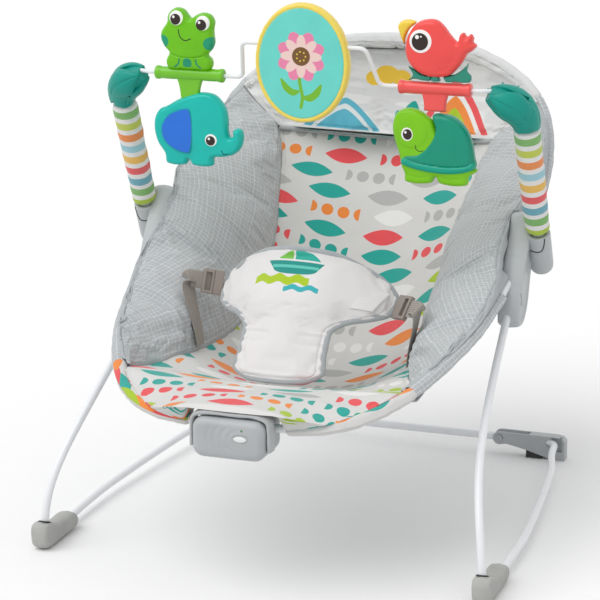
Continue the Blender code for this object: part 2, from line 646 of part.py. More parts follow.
# Floor frame
def floor_tube_path():
    """From the leg's pivot down through the foot, back along the floor and into the bracket."""
    bend = PIVOT_Z - FLOOR_TUBE_Z
    t = np.linspace(0, math.pi / 2, 6)
    foot = np.stack([np.full(6, FOOT_X), FOOT_Y + bend * (1 - np.cos(t)),
                     PIVOT_Z - bend * np.sin(t)], axis=1)
    corner_y = REAR_Y - REAR_BEND_R
    rise = (REAR_TUBE_Z - FLOOR_TUBE_Z) / corner_y

    def z(y):
        return FLOOR_TUBE_Z + rise * max(y - 0.02, 0) * corner_y / (corner_y - 0.02)
    run = smooth_path([(FOOT_X, 0.004, z(0)), (FOOT_X + 0.002, 0.030, z(0.030)),
                       (0.2290, 0.080, z(0.080)), (0.2285, 0.140, z(0.140)),
                       (0.2240, 0.200, z(0.200)), (0.2170, 0.270, z(0.270)),
                       (0.2080, 0.340, z(0.340)), (REAR_TUBE_X + 0.003, 0.385, z(0.385)),
                       (REAR_TUBE_X, corner_y, REAR_TUBE_Z)], 12)
    t = np.linspace(0, math.pi / 2, 6)[1:]
    back = np.stack([REAR_TUBE_X - REAR_BEND_R * (1 - np.cos(t)),
                     corner_y + REAR_BEND_R * np.sin(t), np.full(5, REAR_TUBE_Z)], axis=1)
    return np.vstack([foot, run[1:], back, [(TUBE_END_X + GAP / 2, REAR_Y, REAR_TUBE_Z)]])


def make_floor_tubes():
    """A floor tube each side; its front end is a shallow cup in which the leg's ball sits."""
    def one(side, s):
        path = flip(floor_tube_path(), s)
        tube = make_tube(f"{side}_floor_tube", path, TUBE_R, "white_tube")
        ball = make_ball(f"{side}_cup_tool", (s * FOOT_X, FOOT_Y, PIVOT_Z), TUBE_R + GAP)
        return cut(tube, ball)
    return sides_of(one)


def make_ball(name, middle, radius):
    """A ball used as a tool."""
    bm = bmesh.new()
    bmesh.ops.create_uvsphere(bm, u_segments=12, v_segments=8, radius=radius)
    verts = [tuple(v.co + Vector(middle)) for v in bm.verts]
    faces = [[v.index for v in f.verts] for f in bm.faces]
    bm.free()
    return make_object(name, verts, faces, "steel", middle)


def make_feet():
    """Kidney-shaped rubber feet around the tubes' front bends."""
    outline = smooth_path([(-0.0250, 0.010), (-0.0255, 0.022), (-0.0225, FOOT_TOP),
                           (-0.012, FOOT_TOP + 0.0010), (-0.002, FOOT_TOP - 0.0030),
                           (0.010, 0.0205), (0.024, 0.0200), (0.036, 0.0205), (0.046, 0.0190),
                           (FOOT_BACK - 0.003, 0.0150), (FOOT_BACK, 0.0080),
                           (FOOT_BACK - 0.004, 0.0022)], 18)
    sole = [(0.040, 0.0), (-0.014, 0.0), (-0.0215, 0.0035)]
    outline = np.vstack([outline, sole])

    def one(side, s):
        foot = make_plate(f"{side}_foot", outline, (-FOOT_WIDTH / 2, FOOT_WIDTH / 2),
                          "foot_rubber", 0.0030, 1, (s * (FOOT_X + 0.0012), 0, 0), "x")
        path = floor_tube_path()
        keep = path[:np.sum(path[:, 1] < FOOT_BACK) + 1]
        bore = make_tube(f"{side}_foot_bore", flip(keep, s), bore_size(TUBE_R), "steel")
        mouth = rod(f"{side}_foot_mouth", (s * FOOT_X, FOOT_Y, PIVOT_Z - 0.003),
                    (s * (FOOT_X - 0.0003), FOOT_Y + 0.0002, PIVOT_Z + 0.02), FOOT_MOUTH_R)
        return cut(foot, bore, mouth)
    return sides_of(one)


def make_brackets():
    """Channel brackets at the back: crossbar end, floor tube end, screw and floor pad."""
    half = BAR_R + GAP + BRACKET_WALL
    t = np.linspace(math.radians(90), math.radians(270), 7)
    tip = np.stack([SCREW_X + BRACKET_TIP_R * np.cos(t), REAR_TUBE_Z + BRACKET_TIP_R * np.sin(t)], 1)
    rest = [(0.137, 0.0132), (0.1600, 0.0085), (0.1775, 0.0035), (0.1880, 0.0), (BRACKET_OUT_X, 0.0),
            (BRACKET_OUT_X, 0.0215), (0.2000, 0.0250), (0.1940, BRACKET_TOP)]
    outline = np.vstack([tip, rest])

    def one(side, s):
        place = (0, REAR_Y, 0)
        body = make_plate(f"{side}_rear_bracket", outline * [s, 1], (-half, half),
                          "grey_plastic", 0.0, 1, place)
        inner = BAR_R + GAP
        low_x, high_x = sorted((s * 0.115, s * 0.163))
        slot = make_block(f"{side}_slot_tool", (low_x, REAR_Y - inner, REAR_TUBE_Z - inner),
                          (high_x, REAR_Y + inner, 0.035), "steel")
        path = floor_tube_path()
        tail = path[path[:, 1] > 0.36]
        tail = np.vstack([tail, [(0.150, REAR_Y, REAR_TUBE_Z)]])
        bore = make_tube(f"{side}_bend_tool", flip(tail, s), bore_size(BAR_R), "steel")
        low_x, high_x = sorted((s * 0.1885, s * 0.2005))
        mouth = make_block(f"{side}_mouth_tool", (low_x, REAR_Y - 0.02, 0.0095),
                           (high_x, REAR_Y - 0.001, 0.0255), "steel")
        hole = rod(f"{side}_screw_hole", (s * SCREW_X, REAR_Y - 0.02, REAR_TUBE_Z),
                   (s * SCREW_X, REAR_Y + 0.02, REAR_TUBE_Z), SHANK_R + GAP)
        sink = rod(f"{side}_screw_sink", (s * SCREW_X, REAR_Y - 0.02, REAR_TUBE_Z),
                   (s * SCREW_X, REAR_Y - half + 0.0010, REAR_TUBE_Z), HEAD_R + GAP)
        body = cut(body, slot, bore, mouth, hole, sink)
        screw = rod(f"{side}_bracket_screw", (s * SCREW_X, REAR_Y - half - 0.0010, REAR_TUBE_Z),
                    (s * SCREW_X, REAR_Y - half + 0.0010 - GAP, REAR_TUBE_Z), HEAD_R)
        shank = rod(f"{side}_shank_tool", (s * SCREW_X, REAR_Y - half - 0.0002, REAR_TUBE_Z),
                    (s * SCREW_X, REAR_Y + half - 0.0004, REAR_TUBE_Z), SHANK_R)
        join(screw, shank)
        for turn in (0, 90):
            arm = make_block(f"{side}_cross_{turn}_tool", (-0.0022, -0.0008, -0.0005),
                             (0.0022, 0.0008, 0.0005), "steel", origin=(0, 0, 0))
            arm.location = (s * SCREW_X, REAR_Y - half - 0.0010, REAR_TUBE_Z)
            arm.rotation_euler = (0, math.radians(turn + 30), 0)
            cut(screw, arm)
        foot_outline = [(0.1600, 0.0), (0.1775, 0.0), (0.1775, 0.0032 - GAP), (0.1600, 0.0082 - GAP)]
        pad = make_plate(f"{side}_rear_pad", np.array(foot_outline) * [s, 1], (-half, half),
                         "dark_rubber", 0.0, 1, place)
        return body, screw, pad
    return sides_of(one)


def make_crossbar():
    """The white bar between the brackets, drilled for their screws."""
    end = TUBE_END_X - GAP / 2
    bar = rod("rear_crossbar", (-end, REAR_Y, REAR_TUBE_Z), (end, REAR_Y, REAR_TUBE_Z), BAR_R,
              "white_tube", 12, (0, REAR_Y, REAR_TUBE_Z))
    for s in (1, -1):
        cut(bar, rod(f"bar_hole_{s}", (s * SCREW_X, REAR_Y - 0.02, REAR_TUBE_Z),
                     (s * SCREW_X, REAR_Y + 0.02, REAR_TUBE_Z), SHANK_R + GAP))
    return bar


# Seat frame
def leg_path():
    """From the leg's pivot up to its end in the hub."""
    points = [(FOOT_X, FOOT_Y, PIVOT_Z)] + LEG_PATH
    return smooth_path(points, 17)


def make_legs():
    """A leg each side; its foot end is a ball that flexes in the floor tube's cup."""
    def one(side, s):
        path = leg_path()
        down = path[0] - path[1]
        down /= np.linalg.norm(down)
        t = np.radians([78, 55, 28])
        cap = path[0] + down * (TUBE_R * np.sin(t))[:, None]
        whole = np.vstack([cap, path])
        radii = np.concatenate([TUBE_R * np.cos(t), np.full(len(path), TUBE_R)])
        return make_tube(f"{side}_leg_tube", flip(whole, s), radii, "white_tube",
                         origin=(0, FOOT_Y, PIVOT_Z))
    return sides_of(one)


def back_path():
    """The back hoop's axis from the right hub to the left hub."""
    return smooth_path(across(BACK_HOOP), 31)


def front_path():
    """The front hoop's axis from the right hub to the left hub."""
    return smooth_path(across(FRONT_HOOP), 39)


def make_hoops():
    """The back hoop and the front hoop, each one bent tube from hub to hub."""
    back = make_tube("back_hoop", back_path(), TUBE_R, "white_tube")
    front = make_tube("front_hoop", front_path(), TUBE_R, "white_tube")
    return [back, front]


def arm_point(along):
    """A point of the right arm's axis, measured up from the socket's mouth."""
    foot, head = np.array(ARM_FOOT), np.array(ARM_HEAD)
    return foot + (head - foot) / np.linalg.norm(head - foot) * along


def arm_length():
    """Distance between the socket's mouth and the leaf cover."""
    return float(np.linalg.norm(np.array(ARM_HEAD) - np.array(ARM_FOOT)))


def make_hubs():
    """Hubs: a tapered slab with three tube bores, a window and the toy bar's socket."""
    body_outline = smooth_path(HUB_OUTLINE, 20, closed=True)

    def one(side, s):
        near, far = sorted((s * HUB_IN_X, s * HUB_OUT_X))
        body = make_plate(f"{side}_hub", body_outline, (near, far), "hub_plastic", 0.0030, 1,
                          (0, 0, 0), "x")
        bottom, top = arm_point(-SOCKET_BELOW), arm_point(0.0020)
        along = np.array([bottom, arm_point(-SOCKET_BELOW + 0.0015), arm_point(-SOCKET_BELOW + 0.005),
                          top])
        boss = make_tube(f"{side}_boss_tool", flip(along, s),
                         [SOCKET_R * 0.62, SOCKET_R * 0.86, SOCKET_R, SOCKET_R], "steel", 16)
        bore = rod(f"{side}_socket_tool", flip(arm_point(-SOCKET_DEPTH), s), flip(arm_point(0.02), s),
                   SOCKET_BORE_R, sides=16)
        lip = rod(f"{side}_lip_tool", flip(arm_point(0.002), s) + [0, -0.03, 0.002],
                  flip(arm_point(0.002), s) + [0, 0, 0.002], 0.0076, sides=14)
        leg = make_tube(f"{side}_leg_bore", flip(leg_path()[-8:], s), bore_size(TUBE_R), "steel")
        hoops = []
        for label, line in (("back", back_path()), ("front", front_path())):
            near_hub = line[:6]
            start = near_hub[0] + (near_hub[0] - near_hub[1]) * 0.04
            hoops.append(make_tube(f"{side}_{label}_bore", flip(np.vstack([start, near_hub[1:]]), s),
                                   bore_size(TUBE_R), "steel"))
        window = make_block(f"{side}_window_tool", (-0.0032, -0.02, -0.0075), (0.0032, 0.004, 0.0075),
                            "steel", origin=(0, 0, 0))
        window.location = (s * 0.1975, 0.1960, 0.2440)
        window.rotation_euler = (math.radians(-20), 0, 0)
        sleeve = rod(f"{side}_sleeve_room", flip(arm_point(0.0035), s), flip(arm_point(0.05), s),
                     SLEEVE_R + GAP)
        join(body, boss)
        return cut(body, bore, lip, sleeve, leg, window, *hoops)
    return sides_of(one)


# Seat fabric
def make_hems():
    """Sewn sleeves around the hoops, with a gap for the vibration unit."""
    back = back_path()
    clear = back[(back[:, 2] > 0.292) | (np.abs(back[:, 0]) < 0.18)]
    pieces = [make_sleeve("back_hem", clear, HEM_R, bore_size(TUBE_R), "plain_fabric")]
    front = front_path()
    low = front[(front[:, 1] < 0.176) & (front[:, 0] > UNIT_HALF + TRIM_THICK + 0.002)]

    def one(side, s):
        return make_sleeve(f"{side}_front_hem", flip(low, s), HEM_R, bore_size(TUBE_R), "plain_fabric")
    return pieces + sides_of(one)


def unit_room(name):
    """The room that the vibration unit and its trim take up, as a cutting tool."""
    side = UNIT_HALF + TRIM_THICK + GAP
    low, top, over = UNIT_BOTTOM - 0.02, UNIT_TOP + 2 * GAP, UNIT_TOP + TRIM_THICK + 2 * GAP
    front, step, back = UNIT_FRONT - 0.02, TRIM_BACK + GAP, UNIT_BACK + 2 * GAP
    outline = [(front, low), (back, low), (back, top), (step, top), (step, over), (front, over)]
    return make_plate(name, outline, (-side, side), "steel", axis="x")


def pad_half(angle):
    """Half width of the printed pad at an angle."""
    return float(curve_value(PAD_HALF, angle))


def head_half(angle):
    """Half width of the head pad: out to the bolsters, then out to the hem."""
    rim, _ = inside_hem(angle, HEM_R + 4 * GAP)
    return min(pad_half(angle) if angle < -9.5 else 1.0, float(rim))


def make_sling():
    """The fabric that hangs between the hoops and carries the pads."""
    end = inside_hem(0.0)[1][1] - 1.8
    angles = np.concatenate([STATIONS[2:], [HEAD_FROM], HEAD_STATIONS, [end]])
    loops = []
    for angle in angles:
        rim = float(inside_hem(angle)[0])
        if HUB_FROM < angle < HUB_TO:
            rim = min(rim, HUB_IN_X - 2 * GAP)
        half = min(pad_half(angle) if angle < PAD_TO else head_half(angle), rim - 0.003)
        inner = half * np.sin(np.linspace(-math.pi / 2, math.pi / 2, 9))
        outer = np.array([rim, (rim + half) / 2])
        x = np.concatenate([-outer, inner, outer[::-1]])
        depth = base_depth(x, angle) + SLING_GAP
        loops.append(np.vstack([fan(x, depth, angle), fan(x[::-1], depth[::-1] + SLING_THICK, angle)]))
    verts, faces = loft(loops)
    sling = make_object("seat_sling", verts, faces, "plain_fabric")
    return cut(sling, unit_room("sling_room_tool"))


def make_pads():
    """The printed pad with its front lip, and the head pad."""
    ends = np.concatenate([np.linspace(PAD_FROM, LIP_FROM - 0.01, 6), [LIP_FROM + 0.01], STATIONS,
                           [PAD_TO - 0.7, PAD_TO]])
    pad = lay_pad("seat_pad", "printed_fabric", ends, pad_half, 9)
    cut(pad, unit_room("pad_room_tool"))
    ends = np.concatenate([[HEAD_FROM, HEAD_FROM + 0.8], HEAD_STATIONS, [HEAD_TO - 0.5, HEAD_TO]])
    return [pad, lay_pad("head_pad", "printed_fabric", ends, head_half, 9)]


def make_bolsters():
    """The padded side walls, plump along the seat and tapering to both ends."""
    def one(side, s):
        angles = np.linspace(BOLSTER_FROM, BOLSTER_TO, 21)
        loops = [flip(bolster_loop(a), s) for a in angles]
        for end in (0, -1):
            middle = loops[end].mean(axis=0)
            loops[end] = middle + (loops[end] - middle) * 0.55
        verts, faces = loft(loops)
        return make_object(f"{side}_bolster", verts, faces, "grid_fabric")
    return sides_of(one)


# Restraint
def guard_surface(x, share):
    """Middle face of the guard: rises from the seat and bends back towards both sides."""
    depth = float(curve_value(MIDDLE, GUARD_FOOT_ANGLE)) - GUARD_THICK / 2 - 0.0016
    foot = fan(0.0, depth, GUARD_FOOT_ANGLE)
    y = foot[1] + (GUARD_TOP[0] - foot[1]) * share + GUARD_BACK * x**2
    z = foot[2] + (GUARD_TOP[1] - foot[2]) * share - GUARD_DROP * x**2 * share
    return np.stack(np.broadcast_arrays(x, y, z), axis=-1)


def make_guard():
    """The soft T-shaped guard between the baby's legs, thinner towards its bound edge."""
    loops = []
    shares = np.concatenate([[0, 0.03], np.linspace(0.09, 0.93, 10), [0.98, 1.0]])
    for k, share in enumerate(shares):
        half = float(curve_value(GUARD_HALF, share))
        x = half * np.sin(np.linspace(-math.pi / 2, math.pi / 2, 9))
        mid = guard_surface(x, share)
        step = 1e-4
        along_x = guard_surface(x + step, share) - mid
        along_v = guard_surface(x, share + step) - mid
        normal = np.cross(along_x, along_v)
        normal /= np.linalg.norm(normal, axis=1)[:, None]
        end = min(k, len(shares) - 1 - k)
        thin = (0.45, 0.8, 1.0)[min(end, 2)]
        t = GUARD_THICK / 2 * thin * (1 - 0.6 * (np.abs(x) / half)**6)[:, None]
        loops.append(np.vstack([mid + normal * t, (mid - normal * t)[::-1]]))
    verts, faces = loft(loops)
    return make_object("crotch_guard", verts, faces, "guard_fabric")


def strap_end(s):
    """Where a strap leaves the seam between the printed pad and the bolster."""
    x = float(curve_value(PAD_HALF, STRAP_ANGLE)) - STRAP_THICK
    depth = float(curve_value(PAD_EDGE, STRAP_ANGLE)) - 2 * STRAP_THICK
    return flip(fan(x, depth, STRAP_ANGLE), s)


def make_strap(name, start, free, out, wide, s):
    """A webbing strap, straight inside its clip and then curving down into the seam."""
    end = strap_end(s)
    turn = [free, free + out * 0.006, end + [0, 0, 0.020], end]
    t = np.linspace(0, 1, 8)[:, None]
    curve = ((1 - t)**3 * turn[0] + 3 * (1 - t)**2 * t * turn[1] + 3 * (1 - t) * t**2 * turn[2]
             + t**3 * turn[3])
    path = np.vstack([start, curve])
    way = np.gradient(path, axis=0)
    way[0] = way[1] = out
    way /= np.linalg.norm(way, axis=1)[:, None]
    share = np.clip((np.arange(len(path)) - 1) / (len(path) - 2), 0, 1)[:, None]
    along = np.sign(wide[1]) * np.array([0, 1.0, 0])
    edge = wide * (1 - share) + along * share
    edge -= way * np.sum(edge * way, axis=1)[:, None]
    edge /= np.linalg.norm(edge, axis=1)[:, None]
    face = np.cross(way, edge)
    w, h = edge * STRAP_WIDTH / 2, face * STRAP_THICK / 2
    loops = np.stack([path - w - h, path + w - h, path + w + h, path - w + h], axis=1)
    verts, faces = loft(list(loops))
    return make_object(name, verts, faces, "webbing")


def make_buckles():
    """On each side the guard's buckle, a clip that slides out of it, and a strap to the seat."""
    def one(side, s):
        at, out, up = (np.array(v) for v in BUCKLES[side])
        d = Vector(flip(out / np.linalg.norm(out), s))
        wide = Vector(flip(up, s)) * s
        wide -= d * wide.dot(d)
        wide.normalize()
        turn = Matrix((wide, d.cross(wide), d)).transposed().to_4x4()
        place = Matrix.Translation(Vector(flip(at, s))) @ turn

        def placed(name, half_width, half_thick, start, end, material, edge=0, low=None):
            low = -half_thick if low is None else low
            block = make_block(name, (-half_width, low, start), (half_width, half_thick, end),
                               material, edge, 1, (0, 0, 0))
            block.matrix_world = place
            return block
        w, t = BUCKLE_WIDTH / 2, BUCKLE_THICK / 2
        inner_w, inner_t = w - BUCKLE_WALL, t - BUCKLE_WALL
        strap_w, strap_t = STRAP_WIDTH / 2 + GAP, STRAP_THICK / 2 + GAP
        buckle = placed(f"{side}_buckle", w, t, 0, BUCKLE_LENGTH, "taupe_plastic", 0.0006)
        pocket = placed(f"{side}_pocket_tool", inner_w, inner_t, BUCKLE_WALL, BUCKLE_LENGTH + 0.01,
                        "steel")
        cut(buckle, pocket)
        start = BUCKLE_LENGTH + GAP
        clip = placed(f"{side}_clip", w, t, start, start + CLIP_LENGTH, "taupe_plastic", 0.0006)
        tongue = placed(f"{side}_tongue_tool", inner_w - GAP, inner_t - GAP,
                        BUCKLE_LENGTH - TONGUE_LENGTH, start + BUCKLE_WALL, "steel")
        inside = start + CLIP_BAR
        slot = placed(f"{side}_clip_slot_tool", strap_w, strap_t, inside, start + 0.03, "steel")
        window = placed(f"{side}_clip_window_tool", strap_w, 2 * t, inside,
                        start + CLIP_LENGTH - CLIP_BAR, "steel", low=strap_t - GAP)
        join(clip, tongue)
        cut(clip, slot, window)
        first = np.array(place @ Vector((0, 0, inside + GAP + CLIP_TRAVEL)))
        free = np.array(place @ Vector((0, 0, start + CLIP_LENGTH + CLIP_TRAVEL + STRAP_RUN)))
        strap = make_strap(f"{side}_strap", first, free, np.array(d), np.array(wide), s)
        return buckle, clip, strap
    return sides_of(one)


# Vibration unit
def make_unit():
    """Two shells on the front hoop with button, lamp, battery and its door, motor and weight."""
    front = make_block("unit_front_shell", (-UNIT_HALF, UNIT_FRONT, UNIT_BOTTOM),
                       (UNIT_HALF, UNIT_SPLIT - GAP / 2 + UNIT_ROUND, UNIT_TOP), "grey_plastic",
                       UNIT_ROUND, 3, (0, UNIT_SPLIT, CELL_Z))
    rear = make_block("unit_rear_shell", (-UNIT_HALF, UNIT_SPLIT + GAP / 2 - UNIT_ROUND, UNIT_BOTTOM),
                      (UNIT_HALF, UNIT_BACK, UNIT_TOP), "grey_plastic", UNIT_ROUND, 3,
                      (0, UNIT_SPLIT, CELL_Z))
    trim_front = make_block("front_trim_tool", (-0.1, UNIT_SPLIT - GAP / 2, 0.1), (0.1, 0.0, 0.2), "steel")
    trim_rear = make_block("rear_trim_tool", (-0.1, -0.12, 0.1), (0.1, UNIT_SPLIT + GAP / 2, 0.2), "steel")
    w = UNIT_WALL
    hollow = make_block("front_hollow_tool", (-UNIT_HALF + w, UNIT_FRONT + w, UNIT_BOTTOM + w),
                        (UNIT_HALF - w, UNIT_SPLIT + 0.02, UNIT_TOP - w), "steel", UNIT_ROUND - w, 2)
    rear_hollow = make_block("rear_hollow_tool", (-UNIT_HALF + w, UNIT_SPLIT - 0.02, UNIT_BOTTOM + w),
                             (UNIT_HALF - w, UNIT_BACK - w, UNIT_TOP - w), "steel", UNIT_ROUND - w, 2)
    hoop = front_path()
    hoop = hoop[np.abs(hoop[:, 0]) < UNIT_HALF + 0.03]
    groove_front = make_tube("front_groove_tool", hoop, bore_size(TUBE_R), "steel")
    groove_rear = make_tube("rear_groove_tool", hoop, bore_size(TUBE_R), "steel")
    button_at = (BUTTON_X, UNIT_FRONT, BUTTON_Z)

    def button_shape(grow):
        return circle_outline(BUTTON_HALF_W + grow, BUTTON_HALF_H + grow, 20)
    hole = make_plate("button_hole_tool", button_shape(SLIDE_GAP), (-0.01, 0.01), "steel",
                      origin=button_at)
    led_hole = rod("led_hole_tool", (LED_X, UNIT_FRONT - 0.01, LED_Z), (LED_X, UNIT_FRONT + 0.01, LED_Z),
                   LED_R + GAP, sides=12)
    doorway = make_block("doorway_tool", (-DOOR_HALF - GAP, DOOR_FRONT - GAP, UNIT_BOTTOM - 0.01),
                         (DOOR_HALF + GAP, DOOR_BACK + GAP, UNIT_BOTTOM + w + 0.001), "steel")
    cut(front, trim_front, hollow, groove_front, hole, led_hole, doorway)
    cut(rear, trim_rear, rear_hollow, groove_rear)

    button = make_plate("power_button", button_shape(0), (-BUTTON_PROUD, UNIT_WALL + 0.0006),
                        "button_white", 0, 1, button_at)
    flange = make_plate("button_flange_tool", button_shape(0.0010), (UNIT_WALL + GAP, UNIT_WALL + 0.0012),
                        "steel", origin=button_at)
    join(button, flange)
    led = rod("indicator_lamp", (LED_X, UNIT_FRONT - 0.0003, LED_Z), (LED_X, UNIT_FRONT + 0.0028, LED_Z),
              LED_R, "green_lens", 12)
    door = make_block("battery_door", (-DOOR_HALF, DOOR_FRONT, UNIT_BOTTOM),
                      (DOOR_HALF, DOOR_BACK, UNIT_BOTTOM + w - GAP), "grey_plastic", 0, 1,
                      (0, DOOR_BACK, UNIT_BOTTOM))
    cell = rod("battery", (-CELL_LENGTH / 2, CELL_Y, CELL_Z), (CELL_LENGTH / 2, CELL_Y, CELL_Z),
               CELL_R, "cell_wrap", 16)
    nub = rod("cell_nub_tool", (CELL_LENGTH / 2 - 0.001, CELL_Y, CELL_Z),
              (CELL_LENGTH / 2 + 0.0010, CELL_Y, CELL_Z), 0.0026, sides=12)
    join(cell, nub)
    motor_x = -0.0240
    motor = rod("motor", (motor_x, MOTOR_Y, MOTOR_Z), (motor_x + MOTOR_LENGTH, MOTOR_Y, MOTOR_Z),
                MOTOR_R, "steel", 16)
    face = motor_x + MOTOR_LENGTH + SLIDE_GAP
    t = np.linspace(0, math.pi, 13)
    half_disc = np.vstack([np.stack([WEIGHT_R * np.cos(t), -WEIGHT_R * np.sin(t)], 1),
                           [(-0.0016, 0.0016), (0.0016, 0.0016)]])
    weight = make_plate("motor_weight", half_disc, (0.0, WEIGHT_LENGTH), "steel",
                        origin=(face, MOTOR_Y, MOTOR_Z), axis="x")
    trim_z = UNIT_TOP + GAP
    outer = UNIT_HALF + TRIM_THICK
    arch = [(-outer, 0.150), (-outer, trim_z - 0.010), (-outer + 0.003, trim_z - 0.002),
            (-outer + 0.011, trim_z + TRIM_THICK), (outer - 0.011, trim_z + TRIM_THICK),
            (outer - 0.003, trim_z - 0.002), (outer, trim_z - 0.010), (outer, 0.150),
            (UNIT_HALF + GAP, 0.150), (UNIT_HALF + GAP, trim_z - 0.0036),
            (UNIT_HALF - 0.0036, trim_z), (-UNIT_HALF + 0.0036, trim_z),
            (-UNIT_HALF - GAP, trim_z - 0.0036), (-UNIT_HALF - GAP, 0.150)]
    trim = make_plate("unit_trim", arch, (TRIM_FRONT, TRIM_BACK), "plain_fabric")
    return [front, rear, button, led, door, cell, motor, weight, trim]


# Toy bar
def make_arms():
    """On each side a post, its striped sleeve and the leaf-shaped cover over the wire's end."""
    length = arm_length()

    def one(side, s):
        post_top = length + 0.010
        post = rod(f"{side}_arm_post", flip(arm_point(-SOCKET_DEPTH + GAP), s),
                   flip(arm_point(post_top), s), POST_R, "hub_plastic", 16)
        stops = np.array([0.0045, 0.0065, 0.5 * length, length - 0.003, length - 0.001])
        path = np.array([arm_point(a) for a in stops])
        share = (stops - stops[0]) / (stops[-1] - stops[0])
        outer = SLEEVE_R - SLEEVE_TAPER * (1 - share)
        outer[[0, -1]] -= 0.0020
        sleeve = make_sleeve(f"{side}_arm_sleeve", flip(path, s), outer, POST_R + GAP, "sleeve_fabric", 12)
        a = arm_point(length)
        spine = smooth_path([a, a + [-0.0001, -0.0030, 0.0066], (0.2085, 0.1690, 0.4370),
                             (0.2030, 0.1645, 0.4435), (0.1930, 0.1585, 0.4500),
                             (0.1800, 0.1525, 0.4560)], 12)
        radii = [0.0118, 0.0144, 0.0160, 0.0172, 0.0178, 0.0180, 0.0178, 0.0170, 0.0156, 0.0138,
                 0.0114, 0.0084]
        leaf = make_tube(f"{side}_leaf_cover", flip(spine, s), radii, "leaf_teal", 10)
        socket = rod(f"{side}_leaf_socket_tool", flip(arm_point(length - 0.02), s),
                     flip(arm_point(post_top + GAP), s), POST_R + GAP)
        wire = make_tube(f"{side}_leaf_wire_tool", flip(wire_path()[:6], s),
                         WIRE_R + GAP, "steel", 10)
        return post, sleeve, cut(leaf, socket, wire)
    return sides_of(one)


def wire_path():
    """The toy wire from its right end to its left end."""
    half = [(WIRE_END_X, WIRE_END_Y, SPIN_Z), (0.1720, SPIN_Y, SPIN_Z), (RISER_OUT_X, SPIN_Y, SPIN_Z),
            (RISER_IN_X, FLIP_Y, FLIP_Z)]
    whole = half + [(-x, y, z) for x, y, z in half[::-1]]
    return filleted(whole, WIRE_BEND_R, 3)


def toy_tube(name, x, material, stem_end):
    """A toy's tube on the wire with a stem below, its bore free to turn."""
    half = TOY_TUBE_LENGTH / 2
    stops = [-half, -half + 0.001, -half + TOY_FLARE, half - TOY_FLARE, half - 0.001, half]
    radii = np.array([TOY_TUBE_R, TOY_FLARE_R, TOY_TUBE_R, TOY_TUBE_R, TOY_FLARE_R, TOY_TUBE_R])
    tube = make_tube(name, [(x + d, SPIN_Y, SPIN_Z) for d in stops], radii, material, 16,
                     (x, SPIN_Y, SPIN_Z))
    stem = make_block(name + "_stem_tool", (x - STEM_HALF, SPIN_Y - STEM_DEPTH / 2, SPIN_Z - stem_end),
                      (x + STEM_HALF, SPIN_Y + STEM_DEPTH / 2, SPIN_Z - 0.002), "steel", 0.001, 1)
    bore = rod(name + "_bore_tool", (x - 0.05, SPIN_Y, SPIN_Z), (x + 0.05, SPIN_Y, SPIN_Z),
               WIRE_R + SLIDE_GAP, sides=12)
    join(tube, stem)
    return cut(tube, bore)


def grown(points, distance):
    """A closed outline moved outwards by a distance."""
    step = np.roll(points, -1, axis=0) - np.roll(points, 1, axis=0)
    normal = np.stack([step[:, 1], -step[:, 0]], axis=1)
    normal /= np.linalg.norm(normal, axis=1)[:, None]
    area = np.sum(points[:, 0] * np.roll(points[:, 1], -1) - points[:, 1] * np.roll(points[:, 0], -1))
    return points + normal * distance * np.sign(area)


def figure(name, outline, x, material, depth, count, edge=0.0030, grow=0.0, steps=2):
    """A flat figure with rounded edges, hung on a toy's axis."""
    points = grown(smooth_path(np.array(outline) / 1000.0, count, closed=True), grow)
    return make_plate(name, points, depth, material, edge, steps, (x, SPIN_Y, SPIN_Z))


